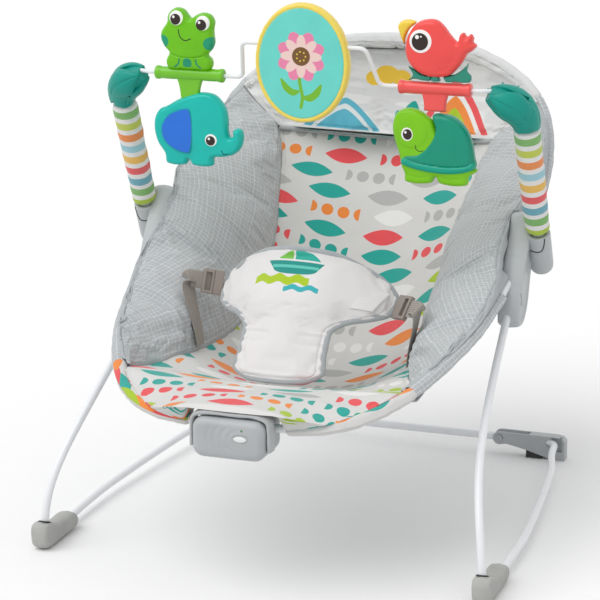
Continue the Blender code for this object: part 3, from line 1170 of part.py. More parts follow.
def make_toys():
    """Frog and elephant on the left, bird and turtle on the right, each pair on one tube."""
    half = TOY_WIDTH / 2
    x = -TOY_X
    green = toy_tube("frog_tube", x, "frog_green", LEFT_STEM)
    frog = figure("frog", FROG, x, "frog_green", (-half, half), 40)
    seat = rod("frog_seat_tool", (x - 0.05, SPIN_Y, SPIN_Z), (x + 0.05, SPIN_Y, SPIN_Z),
               TOY_FLARE_R + GAP, sides=24)
    cut(frog, seat)
    elephant = figure("elephant", ELEPHANT, x, "elephant_blue", (-half, half), 38)
    wide, deep = STEM_HALF + GAP, STEM_DEPTH / 2 + GAP
    stem_room = make_block("elephant_stem_tool", (x - wide, SPIN_Y - deep, SPIN_Z - LEFT_STEM - GAP),
                           (x + wide, SPIN_Y + deep, SPIN_Z - 0.002), "steel")
    ear = figure("elephant_ear", EAR, x, "ear_blue", (-half - EAR_PROUD, -half + EAR_SUNK), 24,
                 0.0008, 0, 1)
    ear_room = figure("ear_room_tool", EAR, x, "steel", (-half - 0.003, -half + EAR_SUNK + GAP),
                      24, 0, GAP)
    cut(elephant, stem_room, ear_room)

    x = TOY_X
    red = toy_tube("bird_tube", x, "coral", RIGHT_STEM)
    bird = figure("bird", PARROT, x, "coral", (-half, half), 36)
    seat = rod("bird_seat_tool", (x - 0.05, SPIN_Y, SPIN_Z), (x + 0.05, SPIN_Y, SPIN_Z),
               TOY_FLARE_R + GAP, sides=24)
    cut(bird, seat)
    beak = figure("bird_beak", BEAK, x, "beak_yellow", (-half + 0.002, half - 0.002), 20, 0.0015,
                  0, 1)
    cut(beak, figure("beak_cut_tool", PARROT, x, "steel", (-half - 0.01, half + 0.01), 36, 0, GAP))
    turtle = figure("turtle", TURTLE, x, "frog_green", (-half + 0.001, half), 40, 0.0020)
    shell = figure("turtle_shell", SHELL, x, "shell_teal",
                   (-half - SHELL_PROUD, half + SHELL_PROUD), 24)
    front = figure("shell_front_tool", SHELL, x, "steel", (-half - 0.01, -SHELL_CORE), 24, 0, GAP)
    back = figure("shell_back_tool", SHELL, x, "steel", (SHELL_CORE, half + 0.01), 24, 0, GAP)
    middle = figure("turtle_core_tool", TURTLE, x, "steel", (-SHELL_CORE - GAP, SHELL_CORE + GAP),
                    40, 0, GAP)
    cut(turtle, front, back)
    cut(shell, middle)
    return [green, frog, elephant, ear, red, bird, beak, turtle, shell]


def make_oval():
    """The oval panel on the wire, with a printed face let into its front."""
    place = (0.0, FLIP_Y, FLIP_Z)
    outline = circle_outline(OVAL_HALF_WIDTH, OVAL_HALF_HEIGHT, 26, (0.0, -OVAL_DROP))
    body = make_plate("oval_panel", outline, (-OVAL_DEPTH / 2, OVAL_DEPTH / 2), "oval_yellow",
                      0.0025, 2, place)
    inner = circle_outline(OVAL_HALF_WIDTH - OVAL_RIM, OVAL_HALF_HEIGHT - OVAL_RIM, 26, (0.0, -OVAL_DROP))
    recess = make_plate("oval_recess_tool", inner, (-OVAL_DEPTH, -OVAL_DEPTH / 2 + PICTURE_DEPTH),
                        "steel", origin=place)
    bore = rod("oval_bore_tool", (-0.07, FLIP_Y, FLIP_Z), (0.07, FLIP_Y, FLIP_Z), WIRE_R + SLIDE_GAP,
               sides=12)
    cut(body, recess, bore)
    seated = circle_outline(OVAL_HALF_WIDTH - OVAL_RIM - GAP, OVAL_HALF_HEIGHT - OVAL_RIM - GAP, 26,
                            (0.0, -OVAL_DROP))
    picture = make_plate("oval_picture", seated,
                         (-OVAL_DEPTH / 2 + 0.0002, -OVAL_DEPTH / 2 + PICTURE_DEPTH - GAP),
                         "picture_print", origin=place)
    return [body, picture]


# Assembly
def gather(name, place, pieces, under):
    """An empty on a joint's axis that carries the pieces which move together there."""
    carrier = bpy.data.objects.new(name, None)
    bpy.context.scene.collection.objects.link(carrier)
    carrier.location = place
    carrier.parent = under
    for piece in pieces:
        obj = bpy.data.objects[piece]
        obj.parent = carrier
        obj.matrix_parent_inverse = Matrix.Translation(place).inverted()
    return carrier


def both(*names):
    """The names of a piece on the right and on the left."""
    return [f"{side}_{name}" for name in names for side in ("right", "left")]


def assemble():
    """Hang the pieces under their joints, and the whole under one empty at the origin."""
    root = bpy.data.objects.new("bouncer", None)
    bpy.context.scene.collection.objects.link(root)
    floor = ["rear_crossbar"] + both("floor_tube", "foot", "rear_bracket", "bracket_screw", "rear_pad")
    seat = ["back_hoop", "front_hoop", "back_hem", "seat_sling", "seat_pad", "head_pad", "crotch_guard",
            "unit_front_shell", "unit_rear_shell", "unit_trim", "indicator_lamp", "battery", "motor"]
    seat += both("leg_tube", "hub", "front_hem", "bolster", "buckle", "strap")
    gather("floor_frame", (0, 0, 0), floor, root)
    gather("seat", (0, FOOT_Y, PIVOT_Z), seat, root)
    bar = ["toy_wire"] + both("arm_post", "arm_sleeve", "leaf_cover")
    left = ["frog_tube", "frog", "elephant", "elephant_ear"]
    right = ["bird_tube", "bird", "bird_beak", "turtle", "turtle_shell"]
    gather("toy_bar", (0, ARM_FOOT[1], ARM_FOOT[2]), bar, root)
    gather("left_toy", (-TOY_X, SPIN_Y, SPIN_Z), left, root)
    gather("right_toy", (TOY_X, SPIN_Y, SPIN_Z), right, root)
    gather("oval_toy", (0, FLIP_Y, FLIP_Z), ["oval_panel", "oval_picture"], root)
    for obj in list(bpy.data.objects):
        if obj is not root and obj.parent is None:
            obj.parent = root
    root.location = (0, -MIDDLE_Y, 0)


def build():
    """Make the whole bouncer."""
    for obj in list(bpy.data.objects):
        bpy.data.objects.remove(obj)
    make_floor_tubes()
    make_feet()
    make_brackets()
    make_crossbar()
    make_legs()
    make_hoops()
    make_hubs()
    make_hems()
    make_sling()
    make_pads()
    make_bolsters()
    make_guard()
    make_buckles()
    make_unit()
    make_arms()
    make_tube("toy_wire", wire_path(), WIRE_R, "white_tube", 6, (0, SPIN_Y, SPIN_Z))
    make_toys()
    make_oval()
    assemble()


build()
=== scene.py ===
# %% [markdown]
# # A baby bouncer, finished for the camera
#
# Two bent steel tubes rise from rubber feet and carry a padded sling seat. A bar with turning toys
# plugs into the hubs, and a vibration unit sits on the front hoop.

# %% Load the frame
import math

import bmesh
import bpy
import numpy as np
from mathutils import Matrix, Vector, geometry


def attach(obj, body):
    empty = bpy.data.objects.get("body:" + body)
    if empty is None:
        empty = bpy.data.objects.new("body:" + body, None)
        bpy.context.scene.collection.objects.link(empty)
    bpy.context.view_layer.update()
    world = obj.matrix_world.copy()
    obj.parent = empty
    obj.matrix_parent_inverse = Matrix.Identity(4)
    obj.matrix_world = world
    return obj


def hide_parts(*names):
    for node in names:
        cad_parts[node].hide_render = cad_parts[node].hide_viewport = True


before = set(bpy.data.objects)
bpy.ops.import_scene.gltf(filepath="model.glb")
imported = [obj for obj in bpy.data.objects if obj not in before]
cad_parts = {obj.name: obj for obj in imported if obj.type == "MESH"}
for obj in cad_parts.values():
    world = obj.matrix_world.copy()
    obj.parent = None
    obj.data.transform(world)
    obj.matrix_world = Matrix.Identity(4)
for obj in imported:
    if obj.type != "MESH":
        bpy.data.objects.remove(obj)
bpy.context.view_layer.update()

scene = bpy.context.scene

# %% [markdown]
# ## Meshes from arrays
#
# A tube, a cushion and a strip of webbing have one thing in common: each is a grid of points. One
# parameter runs along the piece and the other runs round it. The helper below turns such a grid
# into a closed mesh. Extra columns after x, y and z travel along as attributes: "cloth" says where
# a point lies on the flat cloth, so that a weave follows the surface.

# %% A grid of points becomes a piece
SHIFT = np.array([0.0, -0.192, 0.0])     # the drawing's zero lies this far behind the frame's


def grid_faces(rows, cols, round_rows, round_cols):
    """Quads between neighbours of a grid; a closed direction joins its last line to its first."""
    r, c = np.meshgrid(np.arange(rows if round_rows else rows - 1),
                       np.arange(cols if round_cols else cols - 1), indexing="ij")
    r2, c2 = (r + 1) % rows, (c + 1) % cols
    return np.stack([r * cols + c, r * cols + c2, r2 * cols + c2, r2 * cols + c], -1).reshape(-1, 4)


def mesh_piece(name, points, faces, cloth=None, inks=None, sharp=50):
    """An object from points and faces, with its faces turned outwards and smooth shading."""
    mesh = bpy.data.meshes.new(name)
    mesh.from_pydata((np.asarray(points) + SHIFT).tolist(), [], faces)
    bm = bmesh.new()
    bm.from_mesh(mesh)
    if bm.calc_volume(signed=True) < 0:
        bmesh.ops.reverse_faces(bm, faces=bm.faces)
    bm.to_mesh(mesh)
    bm.free()
    mesh.shade_smooth()
    mesh.set_sharp_from_angle(angle=math.radians(sharp))
    if cloth is not None:
        flat = np.zeros((len(points), 3), np.float32)
        flat[:, :2] = np.asarray(cloth).reshape(-1, 2)
        mesh.attributes.new("cloth", "FLOAT_VECTOR", "POINT").data.foreach_set("vector", flat.ravel())
    for label, values in (inks or {}).items():
        layer = mesh.attributes.new(label, "FLOAT", "POINT")
        layer.data.foreach_set("value", np.ascontiguousarray(values, np.float32).ravel())
    piece = bpy.data.objects.new(name, mesh)
    scene.collection.objects.link(piece)
    return piece


def grid_piece(name, grid, round_rows=False, round_cols=True, ends=True, cloth=None, inks=None,
               sharp=50):
    """A closed skin from a grid of points, rows by columns; the first and last row get a lid."""
    rows, cols = grid.shape[:2]
    points = grid.reshape(-1, 3)
    faces = grid_faces(rows, cols, round_rows, round_cols).tolist()
    if ends and not round_rows:
        hub = len(points)
        points = np.vstack([points, grid[0].mean(axis=0), grid[-1].mean(axis=0)])
        ring = np.arange(cols)
        last = (rows - 1) * cols
        faces += [(int(b), int(a), hub) for a, b in zip(ring, np.roll(ring, -1))]
        faces += [(int(last + a), int(last + b), hub + 1) for a, b in zip(ring, np.roll(ring, -1))]
        if cloth is not None:
            cloth = np.asarray(cloth).reshape(rows, cols, 2)
            cloth = np.vstack([cloth.reshape(-1, 2), cloth[0].mean(0), cloth[-1].mean(0)])
        for label in list(inks or {}):
            ink = np.asarray(inks[label]).reshape(rows, cols)
            inks[label] = np.concatenate([ink.ravel(), [ink[0].mean()], [ink[-1].mean()]])
    return mesh_piece(name, points, faces, cloth, inks, sharp)


def finer(grid, times, axis=0, closed=False):
    """More points along one axis: each is a Catmull-Rom blend of its four nearest neighbours."""
    g = np.moveaxis(grid, axis, 0)
    n = len(g)
    s = np.arange(n * times if closed else (n - 1) * times + 1) / times
    i = np.minimum(np.floor(s).astype(int), n - 1 if closed else n - 2)
    f = (s - i).reshape((-1,) + (1,) * (g.ndim - 1))
    near = [g[(i + k) % n] if closed else g[np.clip(i + k, 0, n - 1)] for k in (-1, 0, 1, 2)]
    w = [(-f + 2 * f**2 - f**3) / 2, (2 - 5 * f**2 + 3 * f**3) / 2,
         (f + 4 * f**2 - 3 * f**3) / 2, (f**3 - f**2) / 2]
    return np.moveaxis(sum(a * b for a, b in zip(w, near)), 0, axis)


def outward(grid, closed_cols=True):
    """Unit vectors square to a grid's surface: the cross product of its two directions."""
    g = np.pad(grid, ((0, 0), (1, 1), (0, 0)), mode="wrap") if closed_cols else grid
    along, around = np.gradient(g, axis=0), np.gradient(g, axis=1)
    n = np.cross(along, around)
    if closed_cols:
        n = n[:, 1:-1]
    n /= np.linalg.norm(n, axis=-1, keepdims=True) + 1e-12
    middle = grid.mean(axis=1, keepdims=True)
    side = np.sign(np.sum(n * (grid - middle)))
    return n * (side if side else 1)


def soft_noise(u, v, size, seed):
    """Smooth hills and dips: random heights on a square net, blended from corner to corner."""
    table = np.random.default_rng(seed).uniform(-1, 1, (97, 89))
    x, y = np.asarray(u) / size + 31.7, np.asarray(v) / size + 23.3
    i, j = np.floor(x).astype(int), np.floor(y).astype(int)
    fx, fy = x - i, y - j
    fx, fy = fx * fx * (3 - 2 * fx), fy * fy * (3 - 2 * fy)
    i2, j2, i, j = (i + 1) % 97, (j + 1) % 89, i % 97, j % 89
    return ((1 - fx) * (1 - fy) * table[i, j] + fx * (1 - fy) * table[i2, j]
            + (1 - fx) * fy * table[i, j2] + fx * fy * table[i2, j2])


def net(along, around):
    """Cloth coordinates of a grid: the way along it and the way around it at every point."""
    return np.stack(np.broadcast_arrays(along, around), -1)


def done(piece, body, slot, finish, *nodes):
    """Give a piece its finish, let it ride on its body and let it stand for its CAD nodes."""
    piece.data.materials.clear()
    piece.data.materials.append(finish)
    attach(piece, body)
    if nodes:
        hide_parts(*nodes)
    print(piece.name, len(piece.data.vertices), "points")
    return piece


# %% [markdown]
# ## Finishes
#
# A finish is a material made of shader nodes. A real surface is never one flat colour: moulded
# plastic has a fine grain, cloth has a weave and paint has small waves. The class below gives the
# nodes short names, so that each finish can be written as a few lines of arithmetic on positions.

# %% A short way to write shader nodes
class Finish:
    """A material whose nodes are added one line at a time."""

    def __init__(self, name, rough=0.5, metal=0.0, **sockets):
        self.material = bpy.data.materials.new(name)
        self.material.use_nodes = True
        self.tree = self.material.node_tree
        self.shader = self.tree.nodes["Principled BSDF"]
        self.shader.inputs["Roughness"].default_value = rough
        self.shader.inputs["Metallic"].default_value = metal
        for label, value in sockets.items():
            self.shader.inputs[label.replace("_", " ")].default_value = value

    def node(self, kind, inputs=(), **settings):
        """Add a node; inputs is a dict of socket name or number to a value or another socket."""
        made = self.tree.nodes.new("ShaderNode" + kind)
        for label, value in settings.items():
            setattr(made, label, value)
        for label, value in dict(inputs).items():
            if isinstance(value, bpy.types.NodeSocket):
                self.tree.links.new(value, made.inputs[label])
            else:
                made.inputs[label].default_value = value
        return made

    def math(self, operation, *values, clamp=False):
        """One step of arithmetic."""
        return self.node("Math", enumerate(values), operation=operation, use_clamp=clamp).outputs[0]

    def place(self):
        """The place on the object."""
        return self.node("TexCoord").outputs["Object"]

    def attribute(self, label, output="Fac"):
        """A value that is stored with the points of the mesh."""
        return self.node("Attribute", attribute_name=label).outputs[output]

    def cloth(self):
        """The place on the flat cloth, as its two directions."""
        parts = self.node("SeparateXYZ", {0: self.attribute("cloth", "Vector")})
        return parts.outputs[0], parts.outputs[1]

    def noise(self, scale, where=None, detail=2.0):
        """Cloudy noise, between 0 and 1."""
        return self.node("TexNoise", {"Vector": where or self.place(), "Scale": scale,
                                      "Detail": detail}).outputs["Fac"]

    def mix(self, share, first, second):
        """A blend of two colours."""
        made = self.node("Mix", {}, data_type="RGBA")
        for number, value in ((0, share), (6, first), (7, second)):
            if isinstance(value, bpy.types.NodeSocket):
                self.tree.links.new(value, made.inputs[number])
            else:
                made.inputs[number].default_value = value if number == 0 else rgb(value)
        return made.outputs[2]

    def edge(self, height, width=0.0004):
        """0 below zero and 1 above it, with an edge as soft as the width."""
        return self.node("MapRange", {0: height, 1: -width / 2, 2: width / 2}).outputs[0]

    def ramp(self, share, colours):
        """Colours in steps, each from its own position on."""
        made = self.node("ValToRGB", {0: share})
        made.color_ramp.interpolation = "CONSTANT"
        stops = made.color_ramp.elements
        for k, (at, colour) in enumerate(colours):
            stop = stops[k] if k < 2 else stops.new(at)
            stop.position = at
            stop.color = rgb(colour)
        return made.outputs[0]

    def colour(self, value):
        """What the shader shows as its colour."""
        self.link(value, "Base Color")

    def link(self, value, socket):
        """Lead a value or colour to one of the shader's sockets."""
        if isinstance(value, bpy.types.NodeSocket):
            self.tree.links.new(value, self.shader.inputs[socket])
        else:
            self.shader.inputs[socket].default_value = rgb(value)

    def bump(self, height, depth, strength=1.0):
        """Fine relief that is too small for the mesh, its depth in metres."""
        made = self.node("Bump", {"Height": height, "Distance": depth, "Strength": strength})
        self.tree.links.new(made.outputs[0], self.shader.inputs["Normal"])


def rgb(colour):
    """Linear colour with alpha from three numbers as a screen shows them, 0 to 255."""
    if len(colour) == 4:
        return colour
    c = np.array(colour, float) / 255
    return (*np.where(c <= 0.04045, c / 12.92, ((c + 0.055) / 1.055)**2.4).tolist(), 1.0)


def shaded(colour, by):
    """The colour made darker, or lighter up to white."""
    return tuple(min(255, c * by) for c in colour)


# %% [markdown]
# ### Hard finishes
#
# Moulded plastic is a colour with a fine spark-eroded grain and a slight change of shade where
# the melt cooled. Noise on Object coordinates gives both at a real size. Powder paint on the tubes
# is smoother and waves a little. Rubber is dull and has a soft bloom.

# %% Plastic, paint, rubber and steel
def plastic(name, colour, rough=0.42, grain=0.00006, shade=0.06, coat=0.0):
    """Moulded plastic: fine grain as bump and a faint cloud in the colour and the gloss."""
    f = Finish(name, rough, Coat_Weight=coat, Coat_Roughness=0.15)
    cloud = f.noise(38.0, detail=3.0)
    f.colour(f.mix(cloud, shaded(colour, 1 - shade), shaded(colour, 1 + shade * 0.5)))
    f.link(f.math("MULTIPLY_ADD", cloud, 0.10, rough - 0.05), "Roughness")
    f.bump(f.noise(1700.0, detail=1.0), grain, 0.6)
    return f.material


def enamel(name, colour):
    """Powder paint: long shallow waves and a few duller spots."""
    f = Finish(name, 0.30, Coat_Weight=0.3, Coat_Roughness=0.12)
    f.colour(f.mix(f.noise(22.0), tuple(c - 5 for c in colour), colour))
    f.link(f.math("MULTIPLY_ADD", f.noise(90.0), 0.16, 0.24), "Roughness")
    f.bump(f.noise(520.0, detail=1.0), 0.00008, 0.5)
    return f.material


def rubber(name, colour):
    """Rubber: dull, with a paler bloom in patches and a sandy skin."""
    f = Finish(name, 0.75)
    bloom = f.noise(60.0, detail=4.0)
    f.colour(f.mix(bloom, shaded(colour, 0.90), shaded(colour, 1.05)))
    f.link(f.math("MULTIPLY_ADD", bloom, 0.2, 0.62), "Roughness")
    f.bump(f.noise(1100.0, detail=2.0), 0.00010, 0.6)
    return f.material


def metal(name, colour=(190, 191, 195), rough=0.28):
    """Turned steel: streaks that run round the axis, duller in places."""
    f = Finish(name, rough, 1.0)
    drawn_out = f.node("Mapping", {0: f.place(), 3: (900, 60, 900)}).outputs[0]
    streak = f.noise(1.0, drawn_out, detail=3.0)
    f.colour(f.mix(streak, shaded(colour, 0.85), colour))
    f.link(f.math("MULTIPLY_ADD", streak, 0.2, rough - 0.08), "Roughness")
    f.bump(streak, 0.00002, 0.5)
    return f.material


WHITE_PAINT = enamel("white_paint", (244, 246, 249))
GREY_PLASTIC = plastic("grey_plastic", (182, 186, 188))
HUB_PLASTIC = plastic("hub_plastic", (190, 194, 196))
FOOT_RUBBER = rubber("foot_rubber", (186, 187, 183))
DARK_RUBBER = rubber("dark_rubber", (52, 52, 52))
STEEL = metal("steel")
TAUPE_PLASTIC = plastic("taupe_plastic", (150, 140, 133), 0.48)
BUTTON_PLASTIC = plastic("button_plastic", (240, 242, 241), 0.30, coat=0.3)
GREEN_LENS = plastic("green_lens", (70, 140, 84), 0.15, 0.00001, coat=0.8)
CELL_WRAP = plastic("cell_wrap", (60, 64, 70), 0.35, 0.00001)
print("hard finishes made")

# %% [markdown]
# ## Bent steel tubes
#
# The frame is 8 mm steel tube, bent cold on formers, so each tube is one smooth curve of even
# thickness. A Catmull-Rom curve runs through a few measured points, and a circle is carried along
# it without twisting. A finer ring than the CAD model's eight sides makes the outline round.

# %% Curves through points
SIDES = (("right", 1), ("left", -1))     # names and the sign of x on each side
TUBE_R = 0.0040
FOOT = (0.226, -0.012, 0.022)            # where a leg flexes out of its foot
REAR_Y, REAR_Z = 0.4275, 0.0190          # axis of the crossbar


def way_along(path, power=1.0):
    """The way from the first point of a path to each of its points."""
    return np.concatenate([[0], np.cumsum(np.linalg.norm(np.diff(path, axis=0), axis=1) ** power)])


def smooth_path(points, count, closed=False):
    """Catmull-Rom curve through the points, as count points at even distance."""
    p = np.array(points, float)
    ext = np.vstack([p[-1], p, p[0], p[1]] if closed else [2 * p[0] - p[1], p, 2 * p[-1] - p[-2]])
    knot = way_along(ext, 0.5)
    fine = []
    for i in range(1, len(ext) - 2):
        k0, k1, k2, k3 = knot[i - 1:i + 3]
        t = np.linspace(k1, k2, 24, endpoint=False)[:, None]
        a1 = (k1 - t) / (k1 - k0) * ext[i - 1] + (t - k0) / (k1 - k0) * ext[i]
        a2 = (k2 - t) / (k2 - k1) * ext[i] + (t - k1) / (k2 - k1) * ext[i + 1]
        a3 = (k3 - t) / (k3 - k2) * ext[i + 1] + (t - k2) / (k3 - k2) * ext[i + 2]
        b1 = (k2 - t) / (k2 - k0) * a1 + (t - k0) / (k2 - k0) * a2
        b2 = (k3 - t) / (k3 - k1) * a2 + (t - k1) / (k3 - k1) * a3
        fine.append((k2 - t) / (k2 - k1) * b1 + (t - k1) / (k2 - k1) * b2)
    fine = np.vstack(fine + [p[:1] if closed else p[-1:]])
    way = way_along(fine)
    at = np.linspace(0, way[-1], count, endpoint=not closed)
    return np.stack([np.interp(at, way, fine[:, k]) for k in range(fine.shape[1])], axis=1)


def unit(vectors):
    """Each vector, or row of vectors, at length one."""
    return vectors / np.linalg.norm(vectors, axis=-1, keepdims=True)


def frames_along(path):
    """Two unit vectors across the path at each point, carried along without twist."""
    d = unit(np.gradient(path, axis=0))
    side = np.cross(d[0], [0, 0, 1.0])
    if np.linalg.norm(side) < 0.2:
        side = np.cross(d[0], [0, 1.0, 0])
    u = [side / np.linalg.norm(side)]
    for k in range(1, len(path)):
        v = u[-1] - d[k] * (u[-1] @ d[k])
        u.append(v / np.linalg.norm(v))
    u = np.array(u)
    return u, np.cross(d, u)


def tube_grid(path, radius, sides=28):
    """Circles of the given radius, one radius or one per point, square to the path."""
    u, v = frames_along(path)
    turn = np.arange(sides) * 2 * math.pi / sides
    ring = np.cos(turn)[None, :, None] * u[:, None] + np.sin(turn)[None, :, None] * v[:, None]
    return path[:, None] + ring * np.broadcast_to(radius, len(path))[:, None, None]


def round_ends(path, radius, edge=0.0008):
    """The path and its radii, with three small steps at each end that round off the rim."""
    t = np.radians([90, 60, 30])
    way = [path[1] - path[0], path[-2] - path[-1]]
    way = [w / np.linalg.norm(w) for w in way]
    first = path[0] + way[0] * (edge * (1 - np.sin(t)))[:, None]
    last = path[-1] + way[1] * (edge * (1 - np.sin(t)))[:, None]
    body = path[1:-1]
    radii = np.broadcast_to(radius, len(path))
    small = radii[0] - edge * (1 - np.cos(np.radians([0, 30, 60])))[::-1]
    tail = radii[-1] - edge * (1 - np.cos(np.radians([0, 30, 60])))
    return np.vstack([first, body, last[::-1]]), np.concatenate([small, radii[1:-1], tail])


def flip(points, s):
    """Points of the right side, moved to the side asked for."""
    return np.array(points, float) * [s, 1, 1]


def bar(name, path, radius, body, slot, finish, sides=28, nodes=None):
    """A round bar with softened ends that stands for the CAD node of its name."""
    path, radius = round_ends(np.array(path, float), radius)
    piece = grid_piece(name, tube_grid(path, radius, sides), sharp=60)
    return done(piece, body, slot, finish, *(nodes or [name.replace("_skin", "")]))


# %% [markdown]
# ### Legs, floor tubes, hoops and crossbar
#
# Each leg is bent like a bow from the foot up to the hub. The floor tube turns out of the foot,
# runs back along the floor and bends inwards to the rear bracket. The seat hangs in two hoops.

# %% The white tubes
LEG_PATH = [(0.2240, -0.0100, 0.045), (0.2205, -0.0040, 0.067), (0.2145, 0.0120, 0.093),
            (0.2080, 0.0370, 0.118), (0.2020, 0.0750, 0.146), (0.1970, 0.1250, 0.178),
            (0.1935, 0.1900, 0.2260), (0.1925, 0.2100, 0.2410)]
BACK_HOOP = [(0.192, 0.236, 0.2725), (0.192, 0.300, 0.3050), (0.189, 0.365, 0.3500),
             (0.176, 0.403, 0.3880), (0.150, 0.424, 0.4180), (0.100, 0.441, 0.4430),
             (0.050, 0.449, 0.4530), (0.000, 0.451, 0.4560)]
FRONT_HOOP = [(0.192, 0.206, 0.2600), (0.190, 0.165, 0.2470), (0.183, 0.110, 0.2280),
              (0.169, 0.053, 0.2110), (0.1515, 0.010, 0.1955), (0.133, -0.021, 0.1850),
              (0.109, -0.045, 0.1765), (0.088, -0.056, 0.1725), (0.070, -0.060, 0.1700),
              (0.035, -0.062, 0.1685), (0.000, -0.062, 0.1680)]


def across(half):
    """A whole hoop from its right half, which ends in the middle."""
    half = np.array(half, float)
    return np.vstack([half, flip(half[::-1], -1)[1:]])


def floor_tube_path(floor_z=0.0085, corner_r=0.020, corner_x=0.1945):
    """A quarter turn out of the foot, a long run back along the floor and a quarter turn inwards."""
    bend = FOOT[2] - floor_z
    t = np.linspace(0, math.pi / 2, 10)
    foot = np.stack([np.full(10, FOOT[0]), FOOT[1] + bend * (1 - np.cos(t)),
                     FOOT[2] - bend * np.sin(t)], axis=1)
    corner_y = REAR_Y - corner_r
    run = np.array([(FOOT[0], 0.004), (FOOT[0] + 0.002, 0.030), (0.2290, 0.080), (0.2285, 0.140),
                    (0.2240, 0.200), (0.2170, 0.270), (0.2080, 0.340), (corner_x + 0.003, 0.385),
                    (corner_x, corner_y)])
    rise = floor_z + (REAR_Z - floor_z) * np.clip(run[:, 1] - 0.02, 0, None) / (corner_y - 0.02)
    run = smooth_path(np.column_stack([run, rise]), 60)
    back = np.stack([corner_x - corner_r * (1 - np.cos(t)), corner_y + corner_r * np.sin(t),
                     np.full(10, REAR_Z)], axis=1)
    return np.vstack([foot, run[1:], back[1:], [(0.1652, REAR_Y, REAR_Z)]])


leg_path = smooth_path([FOOT] + LEG_PATH, 90)
back_path = smooth_path(across(BACK_HOOP), 160)
front_path = smooth_path(across(FRONT_HOOP), 160)
for side, s in SIDES:
    bar(f"{side}_leg_skin", flip(leg_path[1:], s), TUBE_R, "seat", "white_tube", WHITE_PAINT,
        nodes=[f"{side}_leg_tube"])
    bar(f"{side}_floor_skin", flip(floor_tube_path(), s), TUBE_R, "floor_frame", "white_tube",
        WHITE_PAINT, nodes=[f"{side}_floor_tube"])
bar("back_hoop_skin", back_path, TUBE_R, "seat", "white_tube", WHITE_PAINT)
bar("front_hoop_skin", front_path, TUBE_R, "seat", "white_tube", WHITE_PAINT)
bar("crossbar_skin", np.linspace((-0.1648, REAR_Y, REAR_Z), (0.1648, REAR_Y, REAR_Z), 40), 0.0043,
    "floor_frame", "white_tube", WHITE_PAINT, nodes=["rear_crossbar"])

# %% [markdown]
# ## Shapes cut from an outline
#
# Feet, toys and brackets are moulded between two halves, so each is an outline with a rounded edge
# and a nearly flat face. A Delaunay net fills the outline with small triangles, and the height of
# every point follows from its distance to the outline: a quarter circle near the edge, then flat or
# gently crowned. The same distances draw printed spots and pressed grooves.

# %% Distances and relief
def distance_to(points, outline):
    """Shortest way from each point to a closed outline: positive inside and negative outside."""
    a = np.asarray(outline, float)
    b = np.roll(a, -1, axis=0)
    p = np.asarray(points, float)
    best = np.full(len(p), 1e9)
    inside = np.zeros(len(p), bool)
    for start, end in zip(a, b):
        d = end - start
        t = np.clip(((p - start) @ d) / (d @ d + 1e-18), 0, 1)
        best = np.minimum(best, np.sum((p - start - t[:, None] * d)**2, axis=1))
        crosses = (start[1] > p[:, 1]) != (end[1] > p[:, 1])
        if crosses.any():
            edge_x = start[0] + (p[:, 1] - start[1]) * d[0] / (d[1] if d[1] else 1e-12)
            inside ^= crosses & (p[:, 0] < edge_x)
    return np.where(inside, 1, -1) * np.sqrt(best)


def filled(outline, step):
    """Points on the outline and on a net inside it, and the triangles between them."""
    low, high = outline.min(axis=0), outline.max(axis=0)
    x = np.arange(low[0], high[0], step)
    y = np.arange(low[1], high[1], step * 0.866)
    knots = np.stack(np.meshgrid(x, y, indexing="ij"), -1)
    knots[:, 1::2, 0] += step / 2
    knots = knots.reshape(-1, 2)
    knots = knots[distance_to(knots, outline) > step * 0.6]
    n = len(outline)
    verts = [Vector(p) for p in outline] + [Vector(p) for p in knots]
    rim = [(i, (i + 1) % n) for i in range(n)]
    net_points, _, faces, *_ = geometry.delaunay_2d_cdt(verts, rim, [], 1, 1e-7)
    return np.array([tuple(p) for p in net_points]), [list(f) for f in faces]


def rounded(depth, edge):
    """Share of the full height: a quarter circle over the edge's width."""
    t = np.clip(1 - depth / edge, 0, 1)
    return np.sqrt(1 - t * t)


def relief_piece(name, outline, half, edge, step, place=(0, 0, 0), crown=0.0, front=None, inks=None,
                 axis="y", side=1, sharp=50):
    """A moulded plate: its height is rounded() of the distance to the outline, plus a crown.

    front(points) adds height to the face towards -Y, and inks maps a name to a function of the
    points whose value is above zero where that colour lies."""
    flat, faces = filled(np.asarray(outline, float), step)
    depth = np.clip(distance_to(flat, outline), 0, None)
    rim = depth < step * 0.05
    height = half * rounded(depth, edge) + crown * np.clip(depth / depth.max(), 0, 1)**0.7
    height[rim] = 0
    forward = height + (front(flat) if front else 0) * (~rim)
    wide_at, thick_at, way = (0, 1, -1) if axis == "y" else (1, 0, side)
    n = len(flat)
    face, back = np.zeros((2, n, 3))
    for layer, reach in ((face, forward), (back, -height)):
        layer[:, wide_at], layer[:, 2] = flat.T
        layer[:, thick_at] = way * reach
    inner = ~rim                             # the rim's points belong to both faces
    number = np.where(inner, n + np.cumsum(inner) - 1, np.arange(n))
    points = np.vstack([face, back[inner]]) + place
    back_faces = [[int(number[i]) for i in f[::-1]] for f in faces]
    layers = {}
    for label, ink in (inks or {}).items():
        layers[label] = np.concatenate([ink(flat), np.full(inner.sum(), -1.0)])
    return mesh_piece(name, points, faces + back_faces, None, layers, sharp)


def ellipse(half_x, half_z, middle=(0.0, 0.0), count=64, turn=0.0):
    """Points of an ellipse, turned by an angle in degrees."""
    t = np.arange(count) * 2 * math.pi / count
    p = np.stack([half_x * np.cos(t), half_z * np.sin(t)], 1)
    c, s = math.cos(math.radians(turn)), math.sin(math.radians(turn))
    return p @ np.array([[c, s], [-s, c]]) + middle


# %% [markdown]
# ### Feet
#
# A soft rubber foot keeps each corner from sliding. Seen from the side it is kidney-shaped, with a
# saddle behind the leg, and the leg comes out of a flared mouth.

